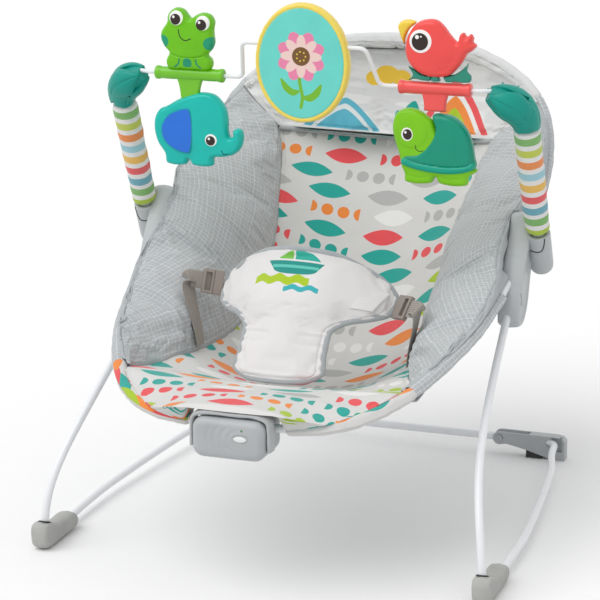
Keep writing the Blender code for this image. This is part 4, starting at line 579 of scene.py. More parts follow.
# %% Rubber feet
FOOT_TOP = 0.0275
foot_outline = smooth_path([(-0.0250, 0.010), (-0.0255, 0.022), (-0.0225, FOOT_TOP),
                            (-0.012, FOOT_TOP + 0.0010), (-0.002, FOOT_TOP - 0.0030),
                            (0.010, 0.0205), (0.024, 0.0200), (0.036, 0.0205), (0.046, 0.0190),
                            (0.053, 0.0150), (0.056, 0.0080), (0.052, 0.0022), (0.044, 0.0004),
                            (0.034, 0.0), (0.010, 0.0), (-0.010, 0.0), (-0.018, 0.0010),
                            (-0.0228, 0.0040)], 120, closed=True)
foot_outline[:, 1] = np.clip(foot_outline[:, 1], 0, None)
for side, s in SIDES:
    foot = relief_piece(f"{side}_foot_skin", foot_outline, 0.0090, 0.0042, 0.0012,
                        (s * (FOOT[0] + 0.0012), 0, 0), axis="x", side=s)
    done(foot, "floor_frame", "foot_rubber", FOOT_RUBBER, f"{side}_foot")
    ring = tube_grid(np.array([(s * FOOT[0], FOOT[1] + 0.0004 * k, FOOT_TOP - 0.0006 + 0.0012 * k)
                               for k in (0, 0.4, 0.8, 1.0)]), [0.0064, 0.0063, 0.0060, 0.0048])
    mouth = grid_piece(f"{side}_foot_mouth", ring)
    done(mouth, "floor_frame", "foot_rubber", DARK_RUBBER)

# %% [markdown]
# ## The shape of the seat
#
# The sling seat is a long trough, and every part of it turns about one line above the baby's lap.
# So a point is given by three numbers: how far across it lies, how deep below that line, and at
# what angle. Tables of a few measured values, joined by a smooth curve, give depth and width.

# %% The seat as a fan
FAN_Y, FAN_Z = 0.165, 0.430
HEM_R = 0.0062
HUB_IN = 0.1829                          # the fabric stays inside the hubs
MIDDLE = [(-136, 0.341), (-131, 0.314), (-127, 0.300), (-118, 0.284), (-106, 0.283),
          (-90, 0.291), (-78, 0.293), (-65, 0.282), (-50, 0.271), (-35, 0.268), (-18, 0.287),
          (-6, 0.2965), (6, 0.2950)]
PAD_HALF = [(-136, 0.050), (-134, 0.068), (-132.5, 0.084), (-131, 0.100), (-129.5, 0.1150),
            (-127, 0.1330), (-124.5, 0.1380), (-121, 0.1410), (-115, 0.137), (-106, 0.119),
            (-90, 0.106), (-70, 0.098), (-54, 0.096), (-35, 0.105), (-17, 0.122), (-14, 0.133),
            (-11, 0.1470), (-8, 0.1600), (-6.5, 0.1655), (-5.5, 0.1680)]
PAD_EDGE = [(-136, 0.343), (-132.5, 0.3380), (-131, 0.3275), (-129.5, 0.3150), (-127, 0.2940),
            (-125.5, 0.2870), (-122, 0.280), (-115, 0.272), (-106, 0.256), (-90, 0.249),
            (-78, 0.249), (-65, 0.237), (-54, 0.228), (-35, 0.2275), (-18, 0.2405), (-9.5, 0.2390),
            (-2.7, 0.2530), (2.7, 0.2700), (6, 0.2830)]
SWELL_IN = [(-124, 0.006), (-116, 0.030), (-106, 0.052), (-90, 0.070), (-70, 0.068), (-50, 0.060),
            (-32, 0.050), (-18, 0.030), (-8, 0.006)]
SWELL_OUT = [(-124, 0.006), (-110, 0.018), (-90, 0.016), (-60, 0.014), (-32, 0.016), (-18, 0.012),
             (-8, 0.004)]
LIP_FROM, LIP_DEPTH = -129.8, 0.3525     # in front of this angle the pad folds over the hoop


def curve_value(table, x):
    """Smooth value between the pairs of a table, without overshoot."""
    xs, ys = np.array(table, float).T
    slope = np.diff(ys) / np.diff(xs)
    total = slope[:-1] + slope[1:]
    inner = np.where(slope[:-1] * slope[1:] > 0,
                     2 * slope[:-1] * slope[1:] / np.where(total == 0, 1, total), 0)
    m = np.concatenate([[slope[0]], inner, [slope[-1]]])
    x = np.clip(np.asarray(x, float), xs[0], xs[-1])
    i = np.clip(np.searchsorted(xs, x) - 1, 0, len(xs) - 2)
    h = xs[i + 1] - xs[i]
    t = (x - xs[i]) / h
    return ((2 * t**3 - 3 * t**2 + 1) * ys[i] + (t**3 - 2 * t**2 + t) * h * m[i]
            + (3 * t**2 - 2 * t**3) * ys[i + 1] + (t**3 - t**2) * h * m[i + 1])


def fan(x, depth, angle):
    """A point from its place across, its depth below the fan's axis and its angle."""
    a = np.radians(angle)
    return np.stack(np.broadcast_arrays(x, FAN_Y + depth * np.cos(a), FAN_Z + depth * np.sin(a)), -1)


hoops = np.vstack([smooth_path(FRONT_HOOP, 160)[::-1], smooth_path(BACK_HOOP, 160)])
hoop_angle = np.maximum.accumulate(np.degrees(np.arctan2(hoops[:, 2] - FAN_Z, hoops[:, 1] - FAN_Y)))
hoop_angle += np.arange(len(hoop_angle)) * 1e-6
hoop_half, hoop_depth = hoops[:, 0], np.hypot(hoops[:, 1] - FAN_Y, hoops[:, 2] - FAN_Z)


def inside_hem(angle, clear=HEM_R + 0.0003):
    """Half width that stays clear of the hem, measured square to the hoop's own direction."""
    way = hoop_depth.mean() * np.radians(hoop_angle)
    dx, dw = np.gradient(hoop_half), np.gradient(way)
    size = np.hypot(dx, dw) + 1e-12
    a = np.maximum.accumulate(np.degrees((way + clear * dx / size) / hoop_depth.mean()))
    return np.interp(angle, a + np.arange(len(a)) * 1e-6, hoop_half - clear * dw / size)


def base_depth(x, angle, pad_thick=0.0095, edge_thick=0.0050):
    """Depth of the face on which pad and bolsters lie, from the middle out to the hem."""
    x = np.abs(x)
    pad_x, rim_x = curve_value(PAD_HALF, angle), inside_hem(angle)
    rim = np.interp(angle, hoop_angle, hoop_depth)
    middle = curve_value(MIDDLE, angle) + pad_thick
    edge = curve_value(PAD_EDGE, angle) + edge_thick
    rim = rim + np.clip((pad_x - rim_x + 0.020) / 0.010, 0, 1) * np.maximum(edge - rim, 0)
    edge_x = np.minimum(pad_x, rim_x - 0.012)
    inner = middle + (edge - middle) * np.clip(x / edge_x, 0, 1)**2
    outer = np.clip((x - edge_x) / (rim_x - edge_x), 0, 1)
    return np.where(x <= edge_x, inner, edge + (rim - edge) * outer)


def over_hem(x, depth, angle, room=0.0085):
    """The depth, or less where the hem round the hoop would be in the way."""
    shape = depth.shape
    x, d, a = (np.broadcast_to(v, shape).reshape(-1, 1) for v in (np.abs(x), depth, angle))
    left = room**2 - (x - hoop_half[::3])**2 - (np.radians(a - hoop_angle[::3]) * hoop_depth[::3])**2
    top = np.where(left > 0, hoop_depth[::3] - np.sqrt(np.clip(left, 0, None)), 1.0).min(axis=1)
    return np.minimum(d[:, 0], top).reshape(shape)


print("seat fan from", round(hoop_angle[0]), "to", round(hoop_angle[-1]), "degrees")

# %% [markdown]
# ## Stuffing that pushes out
#
# A bolster is a fabric bag full of fibre. Its seams are fixed and the fabric between them is a
# little too large for the bag, so it bulges and puckers. Blender's Cloth does this: pressure blows
# the mesh up, the seam points are held, and the fabric grows by a few percent. The grid keeps its
# rows and columns, so afterwards it can still be made finer. A limit on how far a point moves
# keeps the piece in its place.

# %% Cloth pressure on a closed grid
def stuffed(grid, held, pressure=4.0, limit=0.006, extra=0.03, frames=20, ends=True):
    """The grid after its free points have been blown out, no further than the limit."""
    name = "stuffing"
    bag = grid_piece(name, grid, ends=ends)
    bag.vertex_groups.new(name="held")
    pins = np.flatnonzero(held.ravel()).tolist() + list(range(held.size, len(bag.data.vertices)))
    bag.vertex_groups["held"].add(pins, 1.0, "REPLACE")
    cloth = bag.modifiers.new("cloth", "CLOTH")
    cloth.settings.use_pressure = True
    cloth.settings.uniform_pressure_force = pressure
    cloth.settings.quality = 5
    cloth.settings.bending_stiffness = 0.3
    cloth.settings.shrink_min = -extra
    cloth.settings.vertex_group_mass = "held"
    cloth.settings.effector_weights.gravity = 0
    cloth.point_cache.frame_start, cloth.point_cache.frame_end = 1, frames
    for frame_number in range(1, frames + 1):
        scene.frame_set(frame_number)
    blown = bag.evaluated_get(bpy.context.evaluated_depsgraph_get()).data
    after = np.empty(len(blown.vertices) * 3)
    blown.vertices.foreach_get("co", after)
    after = after.reshape(-1, 3)[:held.size].reshape(grid.shape) - SHIFT
    mesh = bag.data
    bpy.data.objects.remove(bag)
    bpy.data.meshes.remove(mesh)
    scene.frame_set(1)
    move = after - grid
    far = np.linalg.norm(move, axis=-1, keepdims=True)
    print("  fabric moved", round(float(far.mean()) * 1000, 1), "mm, at most",
          round(float(far.max()) * 1000, 1))
    return grid + move * (limit * np.tanh(far / limit) / (far + 1e-12))


def cloth_lengths(grid):
    """For each point of a grid its way along and its way across, measured on the surface."""
    along = np.linalg.norm(np.diff(grid, axis=0), axis=-1).mean(axis=1)
    around = np.linalg.norm(np.diff(grid, axis=1), axis=-1)
    u = np.concatenate([[0], np.cumsum(along)])[:, None] + 0 * grid[..., 0]
    v = np.concatenate([np.zeros((len(grid), 1)), np.cumsum(around, axis=1)], axis=1)
    return u, v


# %% [markdown]
# ### Fabric finishes
#
# All the cloth here is brushed polyester: dull, with a soft sheen at the edges and a plain weave.
# Two crossed sine waves on the cloth coordinates make the weave. The side bolsters are grey with a
# fine white check, drawn by a loose hand, so the distance between its lines is disturbed by noise.
# The seat pad is nearly white, with a small print all over: rows of pointed ovals and of dots.

# %% Cloth with a weave, a check or a print
CHECK_PITCH = 0.0048                     # between two lines of the check
ROW_HEIGHT, CELL = 0.0225, 0.0660        # of the print: one row, and one figure along it
OVAL_REACH, OVAL_RISE = 0.0235, 0.0090   # half length and half height of a pointed oval
DOT_R, DOT_STEP, DOTS_REACH = 0.0066, 0.0090, 0.0270     # dots stand two steps apart
TEAL, CORAL, ORANGE, LIME = (0, 172, 160), (244, 80, 86), (252, 144, 56), (178, 208, 24)
SUN, WHITE, MIST, SKY = (250, 206, 60), (248, 247, 246), (190, 190, 189), (94, 190, 214)


def weave(f, pitch=0.0009, depth=0.00022, slubs=0.5):
    """Crossed threads: the product of two sine waves over the cloth, with a few thicker threads."""
    u, v = f.cloth()
    k = 2 * math.pi / pitch
    threads = f.math("MULTIPLY", f.math("SINE", f.math("MULTIPLY", u, k)),
                     f.math("SINE", f.math("MULTIPLY", v, k)))
    thick = f.noise(420.0, f.attribute("cloth", "Vector"), detail=2.0)
    f.bump(f.math("MULTIPLY_ADD", thick, slubs, threads), depth, 0.55)


def cloth_finish(name, colour, shade=0.05, sheen=0.25, pitch=0.0009):
    """Plain woven cloth, a little darker and lighter in soft patches."""
    f = Finish(name, 0.92, Sheen_Weight=sheen, Sheen_Roughness=0.6)
    cloud = f.noise(30.0, detail=4.0)
    f.colour(f.mix(cloud, shaded(colour, 1 - shade), shaded(colour, 1 + shade / 2)))
    weave(f, pitch)
    return f


def check_cloth():
    """Grey cloth with uneven white check lines; they stop where the plain border begins."""
    f = cloth_finish("check_cloth", (177, 181, 184))
    u, v = f.cloth()
    lines = []
    for way, seed in ((u, 3.1), (v, 7.7)):
        shifted = f.node("CombineXYZ", {0: f.math("MULTIPLY", way, 60.0), 1: seed}).outputs[0]
        uneven = f.node("TexNoise", {"Vector": shifted, "Scale": 1.6, "Detail": 1.0}).outputs["Fac"]
        wave = f.noise(55.0, f.attribute("cloth", "Vector"), detail=1.0)
        place = f.math("MULTIPLY_ADD", uneven, 1.5, f.math("MULTIPLY", way, 1 / CHECK_PITCH))
        place = f.math("MULTIPLY_ADD", wave, 0.45, place)
        near = f.math("ABSOLUTE", f.math("SUBTRACT", f.math("FRACT", place), 0.5))
        lines.append(f.node("MapRange", {0: near, 1: 0.115, 2: 0.035}).outputs[0])
    both = f.math("MAXIMUM", *lines)
    worn = f.node("MapRange", {0: f.noise(240.0, f.attribute("cloth", "Vector")),
                               1: 0.25, 2: 0.55, 3: 0.35, 4: 1.0}).outputs[0]
    share = f.math("MULTIPLY", f.math("MULTIPLY", both, worn),
                   f.math("SUBTRACT", 1.0, f.attribute("border"), clamp=True))
    cloud = f.noise(30.0, detail=4.0)
    grey = f.mix(cloud, (180, 185, 188), (194, 198, 201))
    f.colour(f.mix(f.math("MULTIPLY", share, 0.62), grey, (238, 240, 241)))
    return f.material


def print_cloth():
    """Light cloth with rows of pointed ovals and of dots; a random number picks each colour."""
    f = cloth_finish("print_cloth", (222, 221, 219))
    u, v = f.cloth()

    def cells(place, size):
        """The number of the cell at a place, and the way from the cell's middle in metres."""
        number = f.math("FLOOR", place)
        part = f.math("SUBTRACT", f.math("FRACT", place), 0.5)
        return number, f.math("MULTIPLY", part, size)

    def dice(*numbers):
        """A random number for a cell, the same all over it."""
        key = f.node("CombineXYZ", dict(enumerate(numbers))).outputs[0]
        return f.node("TexWhiteNoise", {"Vector": key}, noise_dimensions="3D").outputs[0]

    row, up = cells(f.math("DIVIDE", u, ROW_HEIGHT), ROW_HEIGHT)
    shift = f.node("TexWhiteNoise", {"W": row}, noise_dimensions="1D").outputs[0]
    column, out = cells(f.math("ADD", f.math("DIVIDE", v, CELL), shift), CELL)
    pick, kind = dice(row, column, 4.0), dice(column, row, 9.0)
    reach = f.math("ABSOLUTE", out)
    bow = f.math("SUBTRACT", 1.0, f.math("POWER", f.math("DIVIDE", reach, OVAL_REACH), 2.0))
    oval = f.edge(f.math("SUBTRACT", f.math("MULTIPLY", bow, OVAL_RISE), f.math("ABSOLUTE", up)))
    step = f.math("PINGPONG", f.math("ADD", out, DOT_STEP * 5), DOT_STEP)
    dot = f.math("SQRT", f.math("ADD", f.math("MULTIPLY", step, step), f.math("MULTIPLY", up, up)))
    dots = f.math("MULTIPLY", f.edge(f.math("SUBTRACT", DOT_R, dot)),
                  f.math("LESS_THAN", reach, DOTS_REACH))
    is_oval = f.math("GREATER_THAN", kind, 0.36)
    mask = f.math("ADD", f.math("MULTIPLY", oval, is_oval),
                  f.math("MULTIPLY", dots, f.math("SUBTRACT", 1.0, is_oval)))
    ink = f.ramp(pick, [(0, TEAL), (0.22, CORAL), (0.36, LIME), (0.50, ORANGE), (0.64, WHITE),
                        (0.82, MIST), (0.93, TEAL)])
    base = f.mix(f.noise(26.0, detail=4.0), (221, 220, 218), (233, 232, 230))
    f.colour(f.mix(mask, base, ink))
    return f.material


def picture_cloth(name, base, colours, pitch=0.0009):
    """Cloth with printed figures: each colour lies where its stored distance is above zero."""
    f = cloth_finish(name, base, pitch=pitch)
    shown = f.mix(f.noise(30.0, detail=4.0), shaded(base, 0.97), base)
    for label, colour in colours.items():
        shown = f.mix(f.edge(f.attribute(label), 0.0005), shown, colour)
    f.colour(shown)
    return f.material


CHECK_CLOTH = check_cloth()
PLAIN_CLOTH = cloth_finish("plain_cloth", (176, 181, 184)).material
PALE_CLOTH = cloth_finish("pale_cloth", (197, 200, 202)).material
PRINT_CLOTH = print_cloth()
print("cloth finishes made")

# %% [markdown]
# ### Seat pad
#
# The printed pad is the seat's inner face. It is a shallow trough from one bolster seam to the
# other, and its front edge folds over the hoop as a thick lip. Its upper face follows the fan's
# tables, and small waves in the cloth run in from both seams.

# %% The printed seat pad
UNIT_HALF, UNIT_TOP = 0.0360, 0.1810


def clear_of_unit(grid, side=0.0415, top=0.1872, back=-0.0394):
    """Points over the vibration unit are lifted to its top, smoothly from the sides."""
    near = np.clip((side + 0.010 - np.abs(grid[..., 0])) / 0.010, 0, 1)
    near = near * near * (3 - 2 * near)
    inside = near * (grid[..., 1] < back + 0.006) * (grid[..., 2] < top)
    out = grid.copy()
    out[..., 2] += (top - grid[..., 2]) * inside
    return out


def pad_grid(angles, half, cells, thin=0.0022, wrap=False):
    """A closed section at each angle: the upper face and back under it, drawn in at both ends.

    With wrap the upper face also climbs over the hem at the pad's border."""
    a = angles[:, None]
    half = half[:, None]
    t = np.sin(np.linspace(-math.pi / 2, math.pi / 2, cells))[None, :]
    x = half * t
    middle, edge = curve_value(MIDDLE, a), curve_value(PAD_EDGE, a)
    end = np.minimum(np.arange(len(angles)), np.arange(len(angles))[::-1])[:, None]
    draw = thin * 0.72 ** end
    top = middle + (edge - middle) * t**2 + 0.0022 * np.abs(t)**10 + draw
    if wrap:
        top = over_hem(x, top, a, room=0.0086)
    lip = LIP_DEPTH - draw - (LIP_DEPTH - edge - 0.005) * t**4
    under = np.where(a > LIP_FROM, base_depth(x, a) - 0.0003, lip)
    under = np.maximum(over_hem(x, under, a, room=0.0068), top + 0.0012)
    side = (top[:, -1:] + under[:, -1:]) / 2
    bulge = 0.0008
    return np.concatenate([fan(x, top, a), fan(half + bulge, side, a), fan(x, under, a)[:, ::-1],
                           fan(-half - bulge, side, a)], axis=1)


angles = np.linspace(-135.5, -16.8, 150)
pad = pad_grid(angles, curve_value(PAD_HALF, angles), 64)
pad = finer(finer(pad, 2), 2, 1, closed=True)
u, v = cloth_lengths(pad)
v = v - v[:, 63:64]
facing = outward(pad)
edge_way = np.minimum(np.abs(np.abs(pad[..., 0]) - np.abs(pad[:, :1, 0])), 0.05)
waves = 0.00055 * soft_noise(u, v, 0.045, 5) + 0.00025 * soft_noise(u * 2, v, 0.020, 6)
pucker = 0.0009 * np.exp(-edge_way / 0.012) * soft_noise(u, v * 0.2, 0.009, 8)
bend = -0.0007 * np.exp(-((u - 0.36) / 0.006)**2) - 0.0005 * np.exp(-((u - 0.335) / 0.004)**2)
seam = -0.0005 * np.exp(-((edge_way - 0.004) / 0.0010)**2)
pad = pad + facing * (waves + pucker + bend + seam)[..., None]
pad = clear_of_unit(pad)
seat_pad = grid_piece("seat_pad_skin", pad, cloth=net(u, v))
done(seat_pad, "seat", "printed_fabric", PRINT_CLOTH, "seat_pad")

# %% [markdown]
# ### Side bolsters
#
# Each side wall is a long stuffed roll, sewn to the pad along its inner seam and to the hem along
# its outer seam. A section of it is a Bezier arch over a flat base. The arch is drawn in a little,
# cloth pressure fills it again, and small puckers gather at the seams. A cord is sewn in next to
# the hem, and the check stops at it: from there on the cloth is a plain border.

# %% Two bolsters filled by pressure
RIM = [(-124, 0.2740), (-115, 0.2340), (-108, 0.2080), (-100, 0.1840), (-92, 0.1650), (-81, 0.1470),
       (-70, 0.1370), (-60, 0.1350), (-45, 0.1410), (-31, 0.1610), (-21, 0.1880), (-15, 0.2120),
       (-10, 0.2300), (-6.8, 0.2390)]
HUB_EDGE = [(-86, 0.30), (-84, 0.2152), (-83, 0.1894), (-76.5, 0.1625), (-64.2, 0.1400),
            (-56.4, 0.1302), (-53.0, 0.1388), (-50, 0.30)]
BORDER = 0.0045                          # from the hem to the cord


def beside_hub(loop, angle):
    """Points deeper than a hub's upper edge stay on its inner side."""
    edge = np.interp(angle, *np.array(HUB_EDGE).T)
    return np.where(loop[..., 1] > edge - 0.002, np.minimum(loop[..., 0], HUB_IN), loop[..., 0])


def bolster_grid(angles, arch=30, drawn_in=0.004):
    """Sections of the right bolster: a Bezier arch from seam to seam, then the hem side and base."""
    a = angles[:, None]
    hoop_x, hoop_d = np.interp(a, hoop_angle, hoop_half), np.interp(a, hoop_angle, hoop_depth)
    seam_x, seam_d = curve_value(PAD_HALF, a) + 0.0013, curve_value(PAD_EDGE, a) - 0.0006
    rise, lift = curve_value(SWELL_IN, a), curve_value(SWELL_OUT, a)
    rim_d = np.minimum(curve_value(RIM, a), hoop_d - HEM_R - 0.0042)
    beside = np.clip(1.6 - np.abs(a + 68.5) / 16, 0, 1)
    outer_x = hoop_x + 0.0015 - beside * (hoop_x + 0.0015 - HUB_IN - 0.0010)
    inner, outer = np.stack([seam_x, seam_d], -1), np.stack([outer_x, rim_d], -1)
    c1 = inner + np.stack([-0.05 * rise, -rise], -1)
    c2 = outer + np.stack([-0.60 * lift, -0.80 * lift], -1)
    t = np.linspace(0, 1, arch)[None, :, None]
    top = (1 - t)**3 * inner + 3 * (1 - t)**2 * t * c1 + 3 * (1 - t) * t**2 * c2 + t**3 * outer
    centre = (inner + outer) / 2
    way = centre - top
    share = np.clip(rise / 0.05, 0, 1)[..., None] * np.sin(math.pi * t)
    top = top + way / (np.linalg.norm(way, axis=-1, keepdims=True) + 1e-9) * drawn_in * share
    rim_x = inside_hem(a, HEM_R + 0.0036)
    drop = hoop_d - 0.0080 - rim_d
    wall = [(outer_x + 0.0015, rim_d + 0.3 * drop), (outer_x + 0.0015, rim_d + 0.7 * drop),
            (hoop_x + 0.0010, hoop_d - 0.0070), (rim_x - 0.0006, hoop_d - 0.0012)]
    side = np.stack([np.concatenate(part, axis=1) for part in zip(*wall)], -1)
    x = rim_x - 0.004 + (seam_x - rim_x + 0.004) * np.linspace(0, 1, 8)[None, :]
    under = np.stack([x, base_depth(x, a) - 0.0003], -1)
    loop = np.concatenate([top, side, under], axis=1)
    loop[..., 0] = beside_hub(loop, a)
    size = np.interp(angles, [angles[0], angles[0] + 1.2, angles[0] + 3, angles[-1] - 3,
                              angles[-1] - 1.2, angles[-1]], [0.45, 0.8, 1, 1, 0.8, 0.45])
    middle = loop.mean(axis=1, keepdims=True)
    loop = middle + (loop - middle) * size[:, None, None]
    return fan(loop[..., 0], loop[..., 1], a)


def puckers(u, way, size, reach, depth, seed):
    """Small gathers along a seam: noise along the seam that dies away with the distance from it."""
    return depth * np.exp(-way / reach) * soft_noise(u, way * 0.25, size, seed)


angles = np.linspace(-124.0, -6.8, 88)
arch = 30
for side, s in SIDES:
    roll = bolster_grid(angles, arch)
    held = np.zeros(roll.shape[:2], bool)
    held[:, arch - 1:] = held[:, :2] = True
    held[:3] = held[-3:] = True
    roll = stuffed(roll, held, 5.0, 0.0075, 0.04)
    roll = finer(finer(roll, 4), 3, 1, closed=True)
    u, v = cloth_lengths(roll)
    rim = (arch - 1) * 3
    from_seam, from_hem = v, np.clip(v[:, rim:rim + 1] - v, 0, None)
    on_arch = np.clip(np.minimum(from_seam, from_hem) / 0.004, 0, 1) * (np.arange(v.shape[1]) < rim)
    seed = 20 if s > 0 else 40
    folds = puckers(u, from_seam, 0.011, 0.020, 0.0016, seed)
    folds += puckers(u, from_hem, 0.010, 0.014, 0.0014, seed + 1)
    folds += 0.0011 * soft_noise(u, v, 0.034, seed + 2) + 0.0005 * soft_noise(u, v, 0.015, seed + 3)
    star_u, star_v = (0.115, 0.012) if s > 0 else (0.125, 0.012)
    away = np.hypot(u - star_u, (v - star_v) * 0.8)
    turn = np.arctan2(v - star_v, u - star_u)
    folds += 0.0022 * np.sin(9 * turn + 2 * soft_noise(u, v, 0.03, seed + 4)) \
        * np.exp(-away / 0.055) * np.clip(away / 0.02, 0, 1)
    seam_at = np.exp(-((from_hem - BORDER) / 0.0011)**2)
    roll = roll + outward(roll) * ((folds - 0.0012 * seam_at) * on_arch)[..., None]
    border = ((from_hem < BORDER) | (np.arange(v.shape[1]) > rim)).astype(float)
    bolster = grid_piece(f"{side}_bolster_skin", flip(roll, s), cloth=net(u, v),
                         inks={"border": border})
    done(bolster, "seat", "grid_fabric", CHECK_CLOTH, f"{side}_bolster")
    cord_at = int(np.argmin(np.abs(from_hem[roll.shape[0] // 2, :rim] - BORDER)))
    stitch = flip(roll[8:-8:3, cord_at] + outward(roll)[8:-8:3, cord_at] * 0.0001, s)
    welt = grid_piece(f"{side}_bolster_welt", tube_grid(stitch, 0.0012, 8))
    done(welt, "seat", "plain_fabric", PLAIN_CLOTH)

# %% [markdown]
# ### Head pad
#
# The head pad closes the top of the seat between the two bolsters. Its print is a plain landscape
# made of circles and stripes: nested hills, a low cloud and a few reeds. Each colour is drawn by a
# distance, so its edge stays sharp however coarse the mesh is.

# %% Head pad with a printed landscape
def disc(x, y, at, radius):
    """Above zero inside a circle."""
    return radius - np.hypot(x - at[0], y - at[1])


def spear(x, y, at, length, width, turn):
    """Above zero inside a pointed leaf: a parabola on each side of its line."""
    c, s = math.cos(math.radians(turn)), math.sin(math.radians(turn))
    along, out = (x - at[0]) * c + (y - at[1]) * s, (y - at[1]) * c - (x - at[0]) * s
    return width / 2 * (1 - (2 * along / length)**2) - np.abs(out)


def hill(x, y, at, half, height, width=None):
    """Above zero under a pointed hill, or inside a stripe along its edge."""
    top = height * (1 - (np.abs(x - at[0]) / half)**1.4) - (y - at[1])
    inside = np.minimum(top * 0.75, y - at[1])
    return inside if width is None else np.minimum(width / 2 - np.abs(top * 0.75), y - at[1])


angles = np.concatenate([np.linspace(-16.3, 4.0, 46), [4.4, 4.75, 5.0]])
half = np.minimum(curve_value(PAD_HALF, angles), np.interp(angles, hoop_angle, hoop_half))
head = pad_grid(angles, half, 74, wrap=True)
held = np.zeros(head.shape[:2], bool)
held[:, 72:] = held[:, :2] = True
held[:2] = held[-2:] = True
head = stuffed(head, held, 4.0, 0.004, 0.02)
head = finer(finer(head, 3), 3, 1, closed=True)
u, v = cloth_lengths(head)
x, y = head[..., 0], u
edge_way = np.minimum(np.abs(np.abs(x) - np.abs(head[:, :1, 0])), np.minimum(u, u.max() - u))
cols = head.shape[1]
on_top = np.arange(cols) < 73 * 3
lift = 0.0009 * soft_noise(u, v, 0.036, 61) + 0.0004 * soft_noise(u, v, 0.016, 62)
lift += puckers(v, edge_way, 0.009, 0.010, 0.0011, 63)
lift -= 0.0010 * np.exp(-((edge_way - 0.006) / 0.0012)**2)
head = head + outward(head) * (lift * on_top)[..., None]
head_inks = {
    "cloud": np.max([disc(x, y, (-0.030, 0.072), 0.010), disc(x, y, (-0.016, 0.077), 0.013),
                     disc(x, y, (0.001, 0.073), 0.011)], axis=0),
    "brush": 0.0012 * (soft_noise(x * 0.25, y, 0.007, 65) - 0.25),
    "hill_coral": hill(x, y, (0.066, 0.006), 0.046, 0.070),
    "hill_pale": hill(x, y, (0.066, 0.006), 0.037, 0.057),
    "hill_orange": hill(x, y, (0.066, 0.006), 0.031, 0.048),
    "hill_lime": hill(x, y, (0.066, 0.006), 0.021, 0.033),
    "far_hill": hill(x, y, (-0.060, 0.004), 0.040, 0.040),
    "far_stripe": hill(x, y, (-0.060, 0.004), 0.030, 0.029, 0.005),
    "teal_drop": np.max([spear(x, y, (0.014, 0.030), 0.034, 0.017, 78),
                         spear(x, y, (0.002, 0.022), 0.024, 0.012, 112)], axis=0),
    "reeds": np.max([0.0007 - np.abs(spear(x, y, (0.128 + 0.013 * np.cos(np.radians(t)),
                                                  0.046 + 0.016 * np.sin(np.radians(t))),
                                           0.036, 0.009, t)) for t in (20, 60, 100, 140)], axis=0),
}
head_inks = {label: np.where(on_top, ink, -1.0) for label, ink in head_inks.items()}
HEAD_CLOTH = picture_cloth("head_cloth", (232, 233, 234), {
    "brush": (243, 244, 244), "cloud": SUN, "far_hill": SKY, "far_stripe": (236, 242, 244),
    "hill_coral": CORAL, "hill_pale": WHITE, "hill_orange": ORANGE, "hill_lime": LIME,
    "teal_drop": TEAL, "reeds": TEAL})
head_pad = grid_piece("head_pad_skin", head, cloth=net(u, v), inks=head_inks)
done(head_pad, "seat", "printed_fabric", HEAD_CLOTH, "head_pad")
cord_x = np.linspace(-1, 1, 90) * (float(curve_value(PAD_HALF, -16.6)) - 0.002)
row = head[2, :73 * 3]
order = np.argsort(row[:, 0])
cord_line = np.stack([cord_x, np.interp(cord_x, row[order, 0], row[order, 1]),
                      np.interp(cord_x, row[order, 0], row[order, 2])], -1) + [0, -0.0048, -0.0024]
cord = grid_piece("head_pad_cord", tube_grid(cord_line, 0.0026, 14))
done(cord, "seat", "plain_fabric", PLAIN_CLOTH)

# %% [markdown]
# ### Sling and hems
#
# Behind the pads hangs a plain sheet that carries the weight, and sewn sleeves hold it on the
# hoops. A sleeve is a tube with a seam along it, pulled tight round the steel with small waves. It
# is pale behind the head, checked along the sides and printed where the pad's lip folds over it.

# %% The sling behind the pads
def sling_grid(angles, cells=60, thick=0.0010, hang=0.0040):
    """A thin closed strip under the pads, from hem to hem."""
    a = angles[:, None]
    rim = inside_hem(a)
    rim = np.where((a > -98) & (a < -45), np.minimum(rim, HUB_IN), rim)
    x = rim * np.sin(np.linspace(-math.pi / 2, math.pi / 2, cells))[None, :]
    depth = base_depth(x, a) + hang
    return np.concatenate([fan(x, depth, a), fan(x, depth + thick, a)[:, ::-1]], axis=1)


def woven_sheet(name, grid, finish, nodes, wave=0.0008):
    """A sheet on the seat with soft waves."""
    u, v = cloth_lengths(grid)
    grid = grid + outward(grid) * (wave * soft_noise(u, np.abs(grid[..., 0]), 0.05, 71))[..., None]
    sheet = grid_piece(name, grid, cloth=net(u, v))
    done(sheet, "seat", "plain_fabric", finish, *nodes)
    return sheet


woven_sheet("sling_skin", sling_grid(np.linspace(-124.6, 2.6, 150)), PALE_CLOTH, ["seat_sling"])

HEM_ROUND = 0.039                        # the way once round a hem
HEAD_HEM_END = -6.0                      # the angle at which the pale hem meets the checked one
LIP_SPACE, LIP_SHIFT = 0.084, 0.021      # between two figures of one colour, and of two colours
LIP_REACH, LIP_RISE = 0.019, 0.0075      # half length and half height of a figure
HEAD_HEM = cloth_finish("head_hem_cloth", (233, 234, 235)).material
LIP_INKS = {"lip_teal": TEAL, "lip_coral": CORAL, "lip_orange": ORANGE, "lip_lime": LIME}
LIP_HEM = picture_cloth("lip_hem_cloth", (228, 227, 225), LIP_INKS)


